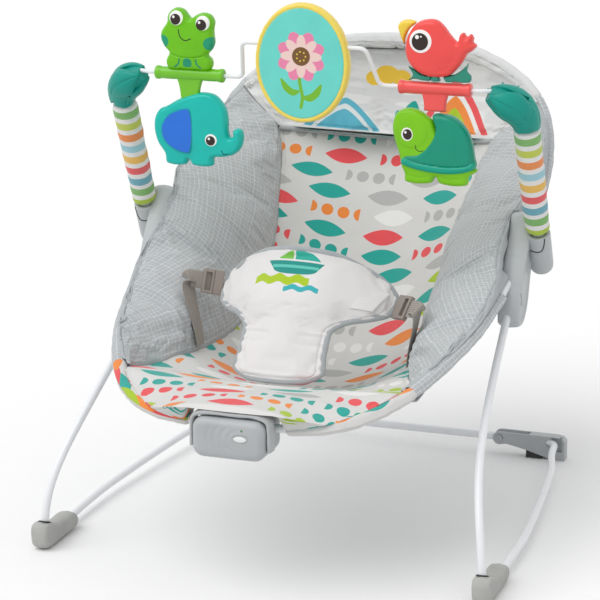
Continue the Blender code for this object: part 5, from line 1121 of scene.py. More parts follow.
def hem(name, path, finish, slot, *nodes):
    """A fabric sleeve round a hoop: its radius waves a little and swells over the sewn edge."""
    tube = tube_grid(path, HEM_R, 36)
    along = way_along(path)[:, None]
    turn = (np.arange(36) / 36)[None, :]
    grow = 0.0004 * soft_noise(along, turn * 0.04, 0.012, 81)
    grow += 0.0003 * soft_noise(along, turn * 0.04, 0.005, 82)
    grow += 0.0011 * np.exp(-((turn - 0.5) / 0.035)**2) - 0.0007 * np.exp(-((turn - 0.43) / 0.012)**2)
    ends = np.minimum(along, along.max() - along)
    grow -= 0.0016 * np.exp(-ends / 0.0010)
    tube = tube + outward(tube) * grow[..., None]
    inks = {"border": 0 * along * turn}
    for k, label in enumerate(LIP_INKS):
        place = np.mod(along + LIP_SHIFT * k, LIP_SPACE) - LIP_SPACE / 2
        off = np.abs(turn - (0.97 if k % 2 else 0.85)) * HEM_ROUND
        inks[label] = LIP_RISE * (1 - (place / LIP_REACH)**2) - off
    piece = grid_piece(name, tube, cloth=net(along, turn * HEM_ROUND),
                       inks=inks)
    done(piece, "seat", slot, finish, *nodes)
    area = sum(p.area for p in piece.data.polygons) / 2
    print(name, "length", round(float(along.max()), 3), "area", round(area, 4))


clear = back_path[(back_path[:, 2] > 0.292) | (np.abs(back_path[:, 0]) < 0.18)]
clear = smooth_path(clear[::4], 520)
head_z = float(fan(0.0, float(np.interp(HEAD_HEM_END, hoop_angle, hoop_depth)), HEAD_HEM_END)[2])
high = clear[:, 2] > head_z
hem("back_hem_skin", smooth_path(clear[high][::4], 200), HEAD_HEM, "printed_fabric", "back_hem")
low = front_path[(front_path[:, 1] < 0.176) & (front_path[:, 0] > UNIT_HALF + 0.007)]
low = smooth_path(low[::3], 400)
lip = low[:, 0] < 0.1500
lip_start = int(np.argmax(lip))
for side, s in SIDES:
    upper = clear[(clear[:, 2] < head_z + 0.0035) & (clear[:, 0] * s > 0)]
    hem(f"{side}_back_hem_skin", smooth_path(upper[::4], 80), CHECK_CLOTH, "grid_fabric")
    checked = flip(smooth_path(low[:lip_start + 4][::3], 120), s)
    hem(f"{side}_front_hem_skin", checked, CHECK_CLOTH, "grid_fabric", f"{side}_front_hem")
    printed = flip(smooth_path(low[lip_start:][::3], 80), s)
    hem(f"{side}_lip_hem_skin", printed, LIP_HEM, "printed_fabric")

# %% [markdown]
# ### Crotch guard
#
# A soft T-shaped guard rises between the baby's legs and its wings are buckled to the seat. Two
# layers of light cloth are bound with grey tape. The face is a curved sheet, thicker in the middle,
# with a shallow ditch beside the binding. Its print is a plain sailing boat, and a small tag is
# sewn on below it.

# %% The guard, its binding and its tag
GUARD_HALF = [(0.0, 0.030), (0.06, 0.045), (0.22, 0.043), (0.38, 0.043), (0.48, 0.055),
              (0.56, 0.078), (0.64, 0.089), (0.78, 0.0915), (0.88, 0.085), (0.95, 0.068), (1.0, 0.040)]
GUARD_THICK, GUARD_BACK, GUARD_DROP = 0.0070, 5.7, 4.3
GUARD_TOP = (0.117, 0.2960)


def guard_surface(x, share):
    """Middle face of the guard: rises from the seat and bends back towards both sides."""
    foot = fan(0.0, float(curve_value(MIDDLE, -118.0)) - GUARD_THICK / 2 - 0.0016, -118.0)
    y = foot[1] + (GUARD_TOP[0] - foot[1]) * share + GUARD_BACK * x**2
    z = foot[2] + (GUARD_TOP[1] - foot[2]) * share - GUARD_DROP * x**2 * share
    return np.stack(np.broadcast_arrays(x, y, z), axis=-1)


def guard_normal(x, share, step=1e-4):
    """The way out of the guard's front face, from two small steps on it."""
    here = guard_surface(x, share)
    return unit(np.cross(guard_surface(x + step, share) - here, guard_surface(x, share + step) - here))


share = np.concatenate([[0, 0.015], np.linspace(0.04, 0.96, 40), [0.985, 1.0]])[:, None]
half = curve_value(GUARD_HALF, share)
t = np.sin(np.linspace(-math.pi / 2, math.pi / 2, 42))[None, :]
x = half * t
mid, normal = guard_surface(x, share), guard_normal(x, share)
end = np.clip(np.minimum(share, 1 - share) / 0.03, 0, 1)
thick = (0.0011 + 0.0020 * end**0.5 * (1 - np.abs(t)**6))[..., None]
guard = np.concatenate([mid + normal * thick, (mid - normal * thick)[:, ::-1]], axis=1)
held = np.zeros(guard.shape[:2], bool)
held[:2] = held[-2:] = True
held[:, :2] = held[:, 40:44] = held[:, -2:] = True
guard = stuffed(guard, held, 3.0, 0.0030, 0.025)
guard = finer(finer(guard, 4), 4, 1, closed=True)
u, v = cloth_lengths(guard)
cols = guard.shape[1]
v = v - v[:, cols // 4:cols // 4 + 1]
front = np.arange(cols) < 41 * 4
gx = guard[..., 0]
rise = (0.0013 * soft_noise(u, v, 0.030, 91) + 0.0006 * soft_noise(u, v, 0.013, 92)) * 0.7
row_half = np.abs(gx[:, :1])
edge_way = np.minimum(row_half - np.abs(gx), np.minimum(u, u.max() - u))
rise -= 0.0011 * np.exp(-((edge_way - 0.0050) / 0.0011)**2)
rise += puckers(u + v, np.abs(edge_way - 0.005), 0.008, 0.006, 0.0008, 93)
guard = guard + outward(guard) * (rise * np.clip(edge_way / 0.003, 0, 1))[..., None]
bx, by = v + 0.004, u - 0.150            # across and up from the middle of the boat's deck
sail_foot = by - 0.004
guard_inks = {                           # each figure is where all of its distances are above zero
    "sail_a": [bx + 0.001, 0.026 - bx - sail_foot * 0.62, sail_foot],
    "sail_b": [-0.003 - bx, 0.018 + bx - sail_foot * 0.60, sail_foot],
    "hull": [0.001 - by, by + 0.013 - 0.010 * (bx / 0.030)**4, 0.029 - np.abs(bx) + by * 0.7],
    "stripe": [0.0016 - np.abs(by + 0.0055), 0.0245 - np.abs(bx)],
    "wave_a": [0.0040 - np.abs(by + 0.0185 - 0.0016 * np.sin(bx * 320)), 0.030 - np.abs(bx + 0.013)],
    "wave_b": [0.0026 - np.abs(by + 0.0265 - 0.0014 * np.sin(bx * 360 + 1)),
               0.018 - np.abs(bx - 0.010)],
}
guard_inks = {label: np.where(front, np.min(parts, axis=0), -1.0)
              for label, parts in guard_inks.items()}
GUARD_CLOTH = picture_cloth("guard_cloth", (240, 238, 238), {
    "sail_a": (30, 178, 160), "sail_b": (120, 196, 70), "hull": (16, 150, 140),
    "stripe": (96, 206, 190), "wave_a": LIME, "wave_b": (52, 182, 190)}, pitch=0.0012)
guard_skin = grid_piece("guard_skin", guard, cloth=net(u, v), inks=guard_inks)
done(guard_skin, "seat", "guard_fabric", GUARD_CLOTH, "crotch_guard")

rim_share = np.concatenate([np.linspace(0.0, 1.0, 60), np.full(18, 1.0), np.linspace(1.0, 0.0, 60),
                            np.zeros(14)])
side_half = curve_value(GUARD_HALF, rim_share[:60])
rim_x = np.concatenate([side_half, np.linspace(side_half[-1], -side_half[-1], 20)[1:-1],
                        -side_half[::-1], np.linspace(-side_half[0], side_half[0], 16)[1:-1]])
rim_line = smooth_path(guard_surface(rim_x, rim_share)[::2], 320, closed=True)
turn = (np.arange(16) * 2 * math.pi / 16)[None, :, None]
tape = guard_normal(rim_line[:, 0], 0.6)
across_tape = unit(np.cross(np.gradient(rim_line, axis=0), tape))
binding = (rim_line[:, None] + 0.0030 * np.cos(turn) * across_tape[:, None]
           + 0.0021 * np.sin(turn) * tape[:, None])
along = np.linspace(0, 0.62, 320)[:, None]
around = (np.arange(16) / 16 * 0.016)[None, :]
binding += outward(binding) * (0.0003 * soft_noise(along, around, 0.006, 95))[..., None]
tape_piece = grid_piece("guard_binding", binding, round_rows=True,
                        cloth=net(along, around))
done(tape_piece, "seat", "plain_fabric", PLAIN_CLOTH)

tag_u, tag_v = np.meshgrid(np.linspace(0.60, 0.80, 16), np.linspace(0.060, 0.078, 12), indexing="ij")
tag_x = tag_v + (tag_u - 0.7) * 0.05
tag_mid = guard_surface(tag_x, tag_u)
lift = (0.0042 + 0.0012 * ((tag_v - 0.060) / 0.018))[..., None]
tag_top = tag_mid + guard_normal(tag_x, tag_u) * (lift + 0.0003)
tag_low = tag_mid + guard_normal(tag_x, tag_u) * (lift - 0.0003)
tag = grid_piece("guard_tag", np.concatenate([tag_top, tag_low[:, ::-1]], axis=1),
                 cloth=np.concatenate([np.stack([tag_u * 0.2, tag_v], -1)] * 2, axis=1))
TAG_CLOTH = cloth_finish("tag_cloth", (250, 249, 248), shade=0.02, pitch=0.0006).material
done(tag, "seat", "guard_fabric", TAG_CLOTH)

# %% [markdown]
# ### Buckles and straps
#
# On each side a strap comes up out of the seat's seam, and its clip slides into a buckle on the
# guard. The webbing is woven with ribs along it, so its thickness is a row of cosines across. The
# moulded buckles keep their CAD shape and get a plastic finish.

# %% Ribbed webbing
BUCKLES = {"right": ((0.0941, 0.1380, 0.2395), (0.762, -0.630, 0.150), (0.25, 0.50, 0.83)),
           "left": ((0.0936, 0.1463, 0.2455), (0.865, -0.455, 0.215), (-0.05, 0.35, 0.93))}
STRAP_WIDE, STRAP_THICK, STRAP_ANGLE = 0.0180, 0.0014, -99.0


def webbing_finish(name, colour):
    """Woven band: ribs along it, crossed by fine threads, paler on the ribs."""
    f = Finish(name, 0.85, Sheen_Weight=0.3)
    u, v = f.cloth()
    rib = f.math("SINE", f.math("MULTIPLY", v, 2 * math.pi / 0.0022))
    thread = f.math("SINE", f.math("MULTIPLY", u, 2 * math.pi / 0.0012))
    pale = f.math("MULTIPLY_ADD", rib, 0.30, f.math("MULTIPLY_ADD", thread, 0.14, 0.5))
    f.colour(f.mix(pale, shaded(colour, 0.82), shaded(colour, 1.08)))
    f.bump(thread, 0.0002, 0.6)
    return f.material


def strap_grid(side, s, start=0.0176, free=0.0335, cells=37):
    """A straight run inside the clip, then a Bezier curve down into the seam, with ribs."""
    at, out, up = (np.array(value) for value in BUCKLES[side])
    at, out = flip(at, s), flip(out / np.linalg.norm(out), s)
    wide = flip(up, s) * s
    wide -= out * (wide @ out)
    wide /= np.linalg.norm(wide)
    edge_x = float(curve_value(PAD_HALF, STRAP_ANGLE)) - STRAP_THICK
    end = flip(fan(edge_x, float(curve_value(PAD_EDGE, STRAP_ANGLE)) - 2 * STRAP_THICK, STRAP_ANGLE), s)
    first, loose = at + out * start, at + out * free
    turn = [loose, loose + out * 0.010, end + [0, 0, 0.020], end]
    t = np.linspace(0, 1, 60)[:, None]
    curve = ((1 - t)**3 * turn[0] + 3 * (1 - t)**2 * t * turn[1] + 3 * (1 - t) * t**2 * turn[2]
             + t**3 * turn[3])
    run = np.linspace(first, loose, 12)[:-1]
    path = np.vstack([run, curve])
    way = unit(np.gradient(path, axis=0))
    share = np.clip((np.arange(len(path)) - len(run)) / (len(path) - 1 - len(run)), 0, 1)[:, None]
    edge = wide * (1 - share) + np.sign(wide[1]) * np.array([0, 1.0, 0]) * share
    edge = unit(edge - way * np.sum(edge * way, axis=1)[:, None])
    face = np.cross(way, edge)
    w = np.linspace(-1, 1, cells)[None, :, None]
    ribs = STRAP_THICK / 2 * (0.72 + 0.28 * np.cos(w * 8 * math.pi)) * (1 - 0.5 * np.abs(w)**12)
    middle = path[:, None] + edge[:, None] * w * STRAP_WIDE / 2
    grid = np.concatenate([middle + face[:, None] * ribs, (middle - face[:, None] * ribs)[:, ::-1]], 1)
    along = way_along(path)
    cloth_v = np.concatenate([w[0, :, 0], w[0, ::-1, 0]]) * STRAP_WIDE / 2
    return grid, net(along[:, None], cloth_v[None, :]), float(along[-1])


def keep(name, finish):
    """A CAD node keeps its shape and gets a finish."""
    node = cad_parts[name]
    for material_slot in node.material_slots:
        material_slot.material = finish
    print(name, "keeps its shape")


WEBBING = webbing_finish("webbing", (164, 157, 150))
for side, s in SIDES:
    grid, cloth, length = strap_grid(side, s)
    strap = grid_piece(f"{side}_strap_skin", grid, cloth=cloth)
    done(strap, "seat", "webbing", WEBBING, f"{side}_strap")
    print(side, "strap length", round(length, 4))
    keep(f"{side}_buckle", TAUPE_PLASTIC)
    keep(f"{side}_clip", TAUPE_PLASTIC)

# %% [markdown]
# ## Hubs and sockets
#
# Each hub is a tapered slab of plastic in which the leg and both hoops end. A cup stands on its
# outer side and takes the foot of the toy bar. The slab is a relief with a pressed recess and
# slits whose shade is painted dark; the cup is a profile turned about the arm's axis, outer wall
# first and then its bore.

# %% Hubs, sockets and posts
ARM_FOOT, ARM_HEAD = np.array([0.2130, 0.2320, 0.3020]), np.array([0.2119, 0.1766, 0.4213])
ARM_LENGTH = float(np.linalg.norm(ARM_HEAD - ARM_FOOT))
HUB_OUTLINE = [(0.188, 0.216), (0.207, 0.2125), (0.224, 0.226), (0.236, 0.258), (0.2475, 0.290),
               (0.2470, 0.318), (0.2370, 0.3215), (0.2260, 0.304), (0.2030, 0.272), (0.188, 0.242)]
SLITS = [((0.1985, 0.2360), (0.1945, 0.2480)), ((0.2040, 0.2340), (0.2000, 0.2460))]


def arm_point(along):
    """Points of the right arm's axis, measured up from the socket's mouth."""
    way = (ARM_HEAD - ARM_FOOT) / ARM_LENGTH
    return ARM_FOOT + way * np.asarray(along, float)[..., None]


def turned(name, axis, profile, s, sides=48):
    """A profile of (place along the axis, radius) pairs, turned about the axis."""
    along, radius = np.array(profile, float).T
    way = axis(np.array([1.0]))[0] - axis(np.array([0.0]))[0]
    u = np.cross(way, [0, 1.0, 0])
    u /= np.linalg.norm(u)
    v = np.cross(way, u)
    turn = np.arange(sides) * 2 * math.pi / sides
    ring = np.cos(turn)[:, None] * u + np.sin(turn)[:, None] * v
    grid = axis(along)[:, None] + ring[None] * radius[:, None, None]
    return grid_piece(name, flip(grid, s), sharp=45)


def segment_distance(p, start, end):
    """Distance of points from a straight piece of line."""
    start, end = np.array(start), np.array(end)
    d = end - start
    t = np.clip(((p - start) @ d) / (d @ d), 0, 1)
    return np.linalg.norm(p - start - t[:, None] * d, axis=1)


hub_outline = smooth_path(HUB_OUTLINE, 140, closed=True)


def hub_face(p):
    """A recess that follows the outline, with slits pressed into it."""
    depth = distance_to(p, hub_outline)
    recess = -0.0012 * np.clip((depth - 0.0062) / 0.0012, 0, 1) * (p[:, 1] < 0.285)
    slit = np.max([0.0011 - segment_distance(p, *ends) for ends in SLITS], axis=0)
    return recess - 0.0030 * np.clip(slit / 0.0005, 0, 1)


def slit_shade_ink(p):
    """Above zero in the slits, where their shade is painted dark."""
    return np.max([0.0010 - segment_distance(p, *ends) for ends in SLITS], axis=0)


def hub_finish():
    """The hubs' plastic, with painted shade: near black where the slits are."""
    f = Finish("hub_face", 0.42)
    shade = f.mix(f.noise(38.0, detail=3.0), (183, 187, 189), (196, 200, 202))
    # The near black in the slits is painted shade.
    f.colour(f.mix(f.edge(f.attribute("slit"), 0.0006), shade, (52, 54, 56)))
    f.bump(f.noise(1700.0, detail=1.0), 0.00006, 0.6)
    return f.material


HUB_FACE = hub_finish()
cup = [(-0.046, 0.0010), (-0.0458, 0.0060), (-0.0445, 0.0095), (-0.042, 0.0113), (-0.038, 0.0121),
       (-0.020, 0.0122), (-0.002, 0.0123), (0.0008, 0.0123), (0.0018, 0.0118), (0.0020, 0.0110),
       (0.0020, 0.0088), (0.0014, 0.0081), (0.0002, 0.0078), (-0.029, 0.0078), (-0.0295, 0.0070),
       (-0.0296, 0.0010)]
way = (ARM_HEAD - ARM_FOOT) / ARM_LENGTH
ahead = np.array([0, -1.0, 0]) + way * way[1]
ahead /= np.linalg.norm(ahead)
turn = np.linspace(-1, 1, 40)
around = np.radians(52) * np.sign(turn) * np.abs(turn)**0.8 - np.radians(8)
# A thin U-shaped line round the cup's mouth, where shade in the gap round the post is painted.
socket_gap_shade = arm_point(0.0012 - 0.0150 * (1 - turn**4)) + 0.0123 * (
    np.cos(around)[:, None] * ahead + np.sin(around)[:, None] * np.cross(way, ahead))
for side, s in SIDES:
    # The slit ink marks where the slits' shade is painted dark.
    slab = relief_piece(f"{side}_hub_skin", hub_outline, 0.01125, 0.0040, 0.0012,
                        (s * 0.19475, 0, 0), front=hub_face, inks={"slit": slit_shade_ink}, axis="x", side=s)
    done(slab, "seat", "hub_plastic", HUB_FACE, f"{side}_hub")
    done(turned(f"{side}_socket", arm_point, cup, s), "seat", "hub_plastic", HUB_PLASTIC)
    # The dark tube along this line is painted shade in the gap round the post.
    line = grid_piece(f"{side}_socket_gap_shade", tube_grid(flip(socket_gap_shade, s), 0.0006, 8))
    done(line, "seat", "dark_rubber", DARK_RUBBER)
    post = arm_point(np.linspace(-0.0296, ARM_LENGTH + 0.010, 30))
    bar(f"{side}_post_skin", flip(post, s), 0.0070, "toy_bar", "hub_plastic", HUB_PLASTIC,
        nodes=[f"{side}_arm_post"])

# %% [markdown]
# ### Striped sleeves
#
# A padded sleeve covers each post, in bands of clear colours with white between them. It is a tube
# that is a little pinched where each band is sewn to the next, drawn together at both ends.

# %% Striped arm sleeves
BANDS = [LIME, (124, 190, 96), (96, 176, 196), CORAL, (250, 196, 72), (160, 214, 228), ORANGE,
         (205, 218, 70), (124, 190, 96)]


def stripe_cloth():
    """Equal bands along the sleeve, each followed by a narrower white one."""
    f = cloth_finish("stripe_cloth", (240, 238, 234))
    along = f.cloth()[0]
    step = 1 / len(BANDS)
    stops = []
    for k, colour in enumerate(BANDS):
        stops += [(k * step, colour), ((k + 0.62) * step, (244, 243, 241))]
    shown = f.ramp(f.math("MULTIPLY", along, 1 / (ARM_LENGTH - 0.0055)), stops)
    worn = f.noise(60.0, detail=3.0)
    f.colour(f.mix(f.math("MULTIPLY", worn, 0.12), shown, (236, 234, 230)))
    return f.material


def leaf_finish():
    """Soft moulded plastic with fine veins that run along each leaf."""
    f = Finish("leaf_plastic", 0.42, Coat_Weight=0.12, Specular_IOR_Level=0.28)
    cloud = f.noise(46.0, detail=3.0)
    f.colour(f.mix(cloud, (0, 142, 128), (0, 162, 146)))
    across_leaf = f.math("MULTIPLY", f.cloth()[1], 2 * math.pi / 0.0030)
    vein = f.math("SINE", f.math("MULTIPLY_ADD", cloud, 1.2, across_leaf))
    f.bump(vein, 0.00012, 0.5)
    return f.material


STRIPE_CLOTH, LEAF_PLASTIC = stripe_cloth(), leaf_finish()
LEAF_SPINE = [ARM_HEAD, ARM_HEAD + [-0.0001, -0.0030, 0.0066], (0.2085, 0.1690, 0.4370),
              (0.2030, 0.1645, 0.4435), (0.1930, 0.1585, 0.4500), (0.1800, 0.1525, 0.4560)]
BUD_SHARE = 0.84                         # the bud's radius as a share of the leaves' radius
LEAF_RADII = [0.0132, 0.0140, 0.0150, 0.0160, 0.0166, 0.0168, 0.0168, 0.0162, 0.0150, 0.0132,
              0.0108, 0.0078]

# Each blade: where it is rooted and where it ends along the spine, its angle, half width and lift
BLADES = [(0.46, -0.03, 0.9, 1.25, 0.0006), (0.44, -0.02, 3.0, 1.25, 0.0004),
          (0.45, -0.03, 5.1, 1.25, 0.0008), (0.28, 1.02, 2.0, 1.02, 0.0020),
          (0.28, 1.04, 4.1, 1.02, 0.0012), (0.28, 1.06, 6.2, 1.02, 0.0016)]


def leaf_blade(spine, radii, first, last, turn, spread, proud):
    """A pointed blade on the bud: its half angle follows a sine from its root to its tip."""
    u_way, v_way = frames_along(spine)
    s = np.linspace(0, 1, 44)
    place = first + (last - first) * s
    index = np.clip(place, 0, 1) * (len(spine) - 1)
    numbers = np.arange(len(spine))
    at, frame_u, frame_v = (np.stack([np.interp(index, numbers, column) for column in table.T], 1)
                            for table in (spine, u_way, v_way))
    r = np.interp(index, numbers, radii)
    half = spread * np.sin(math.pi * s**0.8)**0.75 + 0.02
    t = np.linspace(-1, 1, 25)[None, :]
    angle = turn + half[:, None] * t
    lift = proud * (1 - 0.75 * t**4) - 0.0010 * np.exp(-(t / 0.07)**2)
    lift = lift * (0.35 + 0.65 * np.sin(math.pi * np.clip(s, 0.02, 0.98))[:, None]**0.5)
    way = np.cos(angle)[..., None] * frame_u[:, None] + np.sin(angle)[..., None] * frame_v[:, None]
    top = at[:, None] + way * (r[:, None] + lift)[..., None]
    low = at[:, None] + way * (r[:, None] * BUD_SHARE - 0.0008)[..., None]
    cloth = net(s[:, None] * 0.05, t * half[:, None] * 0.02)
    return (np.concatenate([top, low[:, ::-1]], axis=1),
            np.concatenate([cloth, cloth[:, ::-1]], axis=1))


for side, s in SIDES:
    stops = np.linspace(0.0045, ARM_LENGTH - 0.001, 150)
    share = (stops - stops[0]) / (stops[-1] - stops[0])
    radius = 0.0131 - 0.0008 * (1 - share)
    radius = radius + 0.00035 * np.abs(np.sin(math.pi * share * len(BANDS)))
    radius -= 0.0040 * np.exp(-np.minimum(share, 1 - share) / 0.012)
    tube = tube_grid(arm_point(stops), radius, 56)
    turn = (np.arange(56) / 56 * 0.078)[None, :]
    along = (stops - stops[0])[:, None]
    tube += outward(tube) * (0.0006 * soft_noise(along, turn, 0.014, 101)
                             + 0.0003 * soft_noise(along * 0.5, turn, 0.006, 102))[..., None]
    cloth = net(along, turn)
    sleeve = grid_piece(f"{side}_sleeve_skin", flip(tube, s), cloth=cloth)
    done(sleeve, "toy_bar", "sleeve_fabric", STRIPE_CLOTH, f"{side}_arm_sleeve")
    spine = smooth_path(LEAF_SPINE, 12)
    both = smooth_path(np.column_stack([spine, LEAF_RADII]), 60)
    spine, radii = both[:, :3], both[:, 3]
    bud = tube_grid(spine, radii * BUD_SHARE, 48)
    bud_cloth = net(np.linspace(0, 0.07, 60)[:, None], (np.arange(48) / 48 * 0.12)[None, :])
    bud = grid_piece(f"{side}_leaf_bud", flip(bud, s), cloth=bud_cloth)
    done(bud, "toy_bar", "leaf_teal", LEAF_PLASTIC, f"{side}_leaf_cover")
    for k, blade_size in enumerate(BLADES):
        blade, blade_cloth = leaf_blade(spine, radii, *blade_size)
        leaf = grid_piece(f"{side}_leaf_{k}", flip(blade, s), cloth=blade_cloth)
        done(leaf, "toy_bar", "leaf_teal", LEAF_PLASTIC)

# %% [markdown]
# ## Vibration unit
#
# The unit is a box with round edges, split across the hoop. Rings of a rounded rectangle, first
# growing over the front face, then rolling over the edge and along the side, make each shell.
# Shallow ripples run out from the button, as if it had been dropped in water.

# %% Shells, button, lamp and trim
UNIT_FRONT, UNIT_BACK, UNIT_SPLIT, UNIT_BOTTOM = -0.0920, -0.0400, -0.0620, 0.1420
DOOR_HALF, DOOR_FRONT, DOOR_BACK = 0.0220, -0.0860, -0.0690
BUTTON = (0.0130, 0.1640)


def rounded_rectangle(half_x, half_z, corner, count=144):
    """Points round a rectangle with round corners, at even angles seen from its centre."""
    t = np.arange(count) * 2 * math.pi / count
    ux, uz = np.cos(t), np.sin(t)
    low, high = np.zeros(count), np.full(count, half_x + half_z)
    for _ in range(40):
        r = (low + high) / 2
        qx, qz = np.abs(ux * r) - half_x + corner, np.abs(uz * r) - half_z + corner
        out = np.hypot(np.maximum(qx, 0), np.maximum(qz, 0)) - corner
        out += np.minimum(np.maximum(qx, qz), 0)
        high, low = np.where(out > 0, r, high), np.where(out > 0, low, r)
    return np.stack([ux * r, uz * r], 1)


def shell_grid(front, split, relief=None, edge=0.0075, corner=0.0110):
    """Rings over the face, round the edge and along the side to the split."""
    centre_z, half_z = (UNIT_TOP + UNIT_BOTTOM) / 2, (UNIT_TOP - UNIT_BOTTOM) / 2
    way = np.sign(split - front)
    turn = np.linspace(0, math.pi / 2, 10)
    inset = np.concatenate([np.full(34, edge), edge * (1 - np.sin(turn[1:])), np.zeros(6)])
    size = np.concatenate([np.linspace(0.02, 1, 34)**0.9, np.ones(15)])
    y = np.concatenate([np.full(34, front), front + way * edge * (1 - np.cos(turn[1:])),
                        np.linspace(front + way * edge, split, 7)[1:]])
    rings = np.stack([rounded_rectangle(UNIT_HALF - i, half_z - i, max(corner - i, 0.003))
                      for i in inset]) * size[:, None, None]
    grid = np.empty((len(inset), rings.shape[1], 3))
    grid[..., 0], grid[..., 2] = rings[..., 0], centre_z + rings[..., 1]
    grid[..., 1] = y[:, None]
    crown = np.clip(1 - size, 0, 1)[:, None] * 0.0012
    grid[..., 1] -= way * crown
    if relief:
        grid[..., 1] -= way * relief(grid[..., 0], grid[..., 2])
    doorway = (np.abs(grid[..., 0]) < DOOR_HALF + 0.0003) & (grid[..., 2] < UNIT_BOTTOM + 0.0010) \
        & (grid[..., 1] > DOOR_FRONT + 0.0010) & (grid[..., 1] < DOOR_BACK + 0.0003)
    grid[..., 2] += doorway * 0.0028
    return grid


def ripples(x, z):
    """Rings round the button on its left, and a fine groove round the button itself."""
    out = np.hypot(x - BUTTON[0], (z - BUTTON[1]) * 1.35)
    shown = np.prod([np.clip(share, 0, 1) for share in (
        (0.0125 - np.abs(z - BUTTON[1])) / 0.004, (BUTTON[0] - x) / 0.01,
        (0.0365 - out) / 0.004, (out - 0.007) / 0.002)], axis=0)
    ring = np.hypot((x - BUTTON[0]) / 0.0076, (z - BUTTON[1]) / 0.0039)
    return -0.00055 * shown * (0.5 + 0.5 * np.cos(2 * math.pi * (out - 0.004) / 0.0074)) \
        - 0.0008 * np.exp(-((ring - 1) / 0.09)**2)


SPLIT_GAP = 0.0002                       # each shell ends this far from the split
front_shell = grid_piece("unit_front_skin",
                         shell_grid(UNIT_FRONT, UNIT_SPLIT - SPLIT_GAP, ripples), sharp=60)
done(front_shell, "seat", "grey_plastic", GREY_PLASTIC, "unit_front_shell")
rear_shell = grid_piece("unit_rear_skin", shell_grid(UNIT_BACK, UNIT_SPLIT + SPLIT_GAP), sharp=60)
done(rear_shell, "seat", "grey_plastic", GREY_PLASTIC, "unit_rear_shell")
button = relief_piece("power_button_skin", ellipse(0.0066, 0.0030, count=72), 0.0015, 0.0012, 0.0004,
                      (BUTTON[0], UNIT_FRONT + 0.0003, BUTTON[1]), crown=0.0004)
done(button, "power_button", "button_white", BUTTON_PLASTIC, "power_button")
lamp = relief_piece("indicator_lamp_skin", ellipse(0.0011, 0.0011, count=32), 0.0006, 0.0007, 0.0003,
                    (0.0145, UNIT_FRONT - 0.0001, 0.1725), crown=0.0002)
done(lamp, "seat", "green_lens", GREEN_LENS, "indicator_lamp")
for node, finish in (("battery_door", GREY_PLASTIC), ("battery", CELL_WRAP), ("motor", STEEL),
                     ("motor_weight", STEEL)):
    keep(node, finish)


def wide_band(path, wide, half_wide, half_thick, sides=36):
    """A flattened tube along a path: an oval with one axis along the wide direction."""
    way = unit(np.gradient(path, axis=0))
    face = unit(np.cross(way, wide))
    t = np.arange(sides) * 2 * math.pi / sides
    flat_cos = np.sign(np.cos(t)) * np.abs(np.cos(t))**0.7
    flat_sin = np.sign(np.sin(t)) * np.abs(np.sin(t))**0.7
    return path[:, None] + flat_cos[None, :, None] * half_wide * np.array(wide) \
        + flat_sin[None, :, None] * half_thick * face[:, None]


TRIM_Y = -0.078
trim_half = [(0.0385, TRIM_Y, 0.1510), (0.0385, TRIM_Y, 0.1710), (0.0365, TRIM_Y, 0.1800),
             (0.0280, TRIM_Y, 0.1838), (0.0, TRIM_Y, 0.1842)]
trim_path = smooth_path(flip(across(trim_half), -1), 130)
trim_grid = wide_band(trim_path, (0, 1.0, 0), 0.0078, 0.0022)
along = np.linspace(0, 0.13, 130)[:, None]
around = (np.arange(36) / 36 * 0.034)[None, :]
trim_seam = np.exp(-((np.mod(around, 0.017) - 0.012) / 0.0008)**2)
trim_grid += outward(trim_grid) * (0.0004 * soft_noise(along, around, 0.009, 111)
                                   - 0.0004 * trim_seam)[..., None]
trim = grid_piece("unit_trim_skin", trim_grid, cloth=net(along, around))
done(trim, "seat", "plain_fabric", PALE_CLOTH, "unit_trim")

# %% [markdown]
# ## Rear brackets
#
# A moulded channel joins the floor tube to the crossbar on each side, held by a cross-head screw
# and standing on a dark pad. These shapes are right in the CAD model, so they only get finishes.

# %% Finishes for the brackets
for side, _ in SIDES:
    keep(f"{side}_rear_bracket", GREY_PLASTIC)
    keep(f"{side}_bracket_screw", STEEL)
    keep(f"{side}_rear_pad", DARK_RUBBER)

# %% [markdown]
# ## Toys
#
# Two pairs of moulded animals turn on the wire, with an oval panel between them. Each figure is a
# relief over its outline: round at the edge, a little higher in the middle. Eyes, cheeks and smiles
# are painted on. A drawn line or spot is stored as its signed distance at every point, so the
# finish can cut a sharp edge where the distance crosses zero.

# %% Outlines in millimetres from each toy's axis
SPIN_Y, SPIN_Z, TOY_X = 0.1480, 0.4590, 0.1275
FROG = [(2.5, 56.5), (7.5, 59.7), (15.5, 62.5), (23, 60.5), (27, 54), (26, 46), (26.3, 39.5),
        (27, 33), (24.5, 26), (20, 20.5), (23.5, 16.5), (24.8, 11.7), (22.5, 5.5), (8, 4.5),
        (-8, 4.5), (-21, 5), (-24, 9.2), (-24, 14.8), (-21.3, 21), (-26.5, 27.5), (-29.8, 35),
        (-29.3, 42), (-26, 47.5), (-23, 52.2), (-22.3, 58.4), (-18.5, 63.8), (-11.5, 66.5),
        (-5, 64.5), (-0.8, 59.5)]
ELEPHANT = [(-32.4, -37), (-24.9, -33.5), (-12.1, -26), (2.8, -20), (14.6, -17.5), (26.3, -19.5),
            (33.8, -26), (38.6, -34), (40.4, -44), (40.6, -56), (42.6, -61.5), (46.1, -60),
            (46.3, -54.5), (50.4, -52), (55.2, -54), (56.6, -64), (53.6, -73), (46.6, -79),
            (37, -82), (25.3, -84), (24.2, -91.5), (2.8, -92), (-0.9, -86.5), (-4.6, -92),
            (-24.9, -91.5), (-27.1, -82), (-34.5, -71), (-38.3, -57), (-37.2, -45)]
EAR = [(1.7, -34.5), (-10.7, -36), (-22, -42.5), (-28.2, -53.5), (-26.5, -65.5), (-17.5, -74.5),
       (-5.1, -79), (1.7, -78.5)]
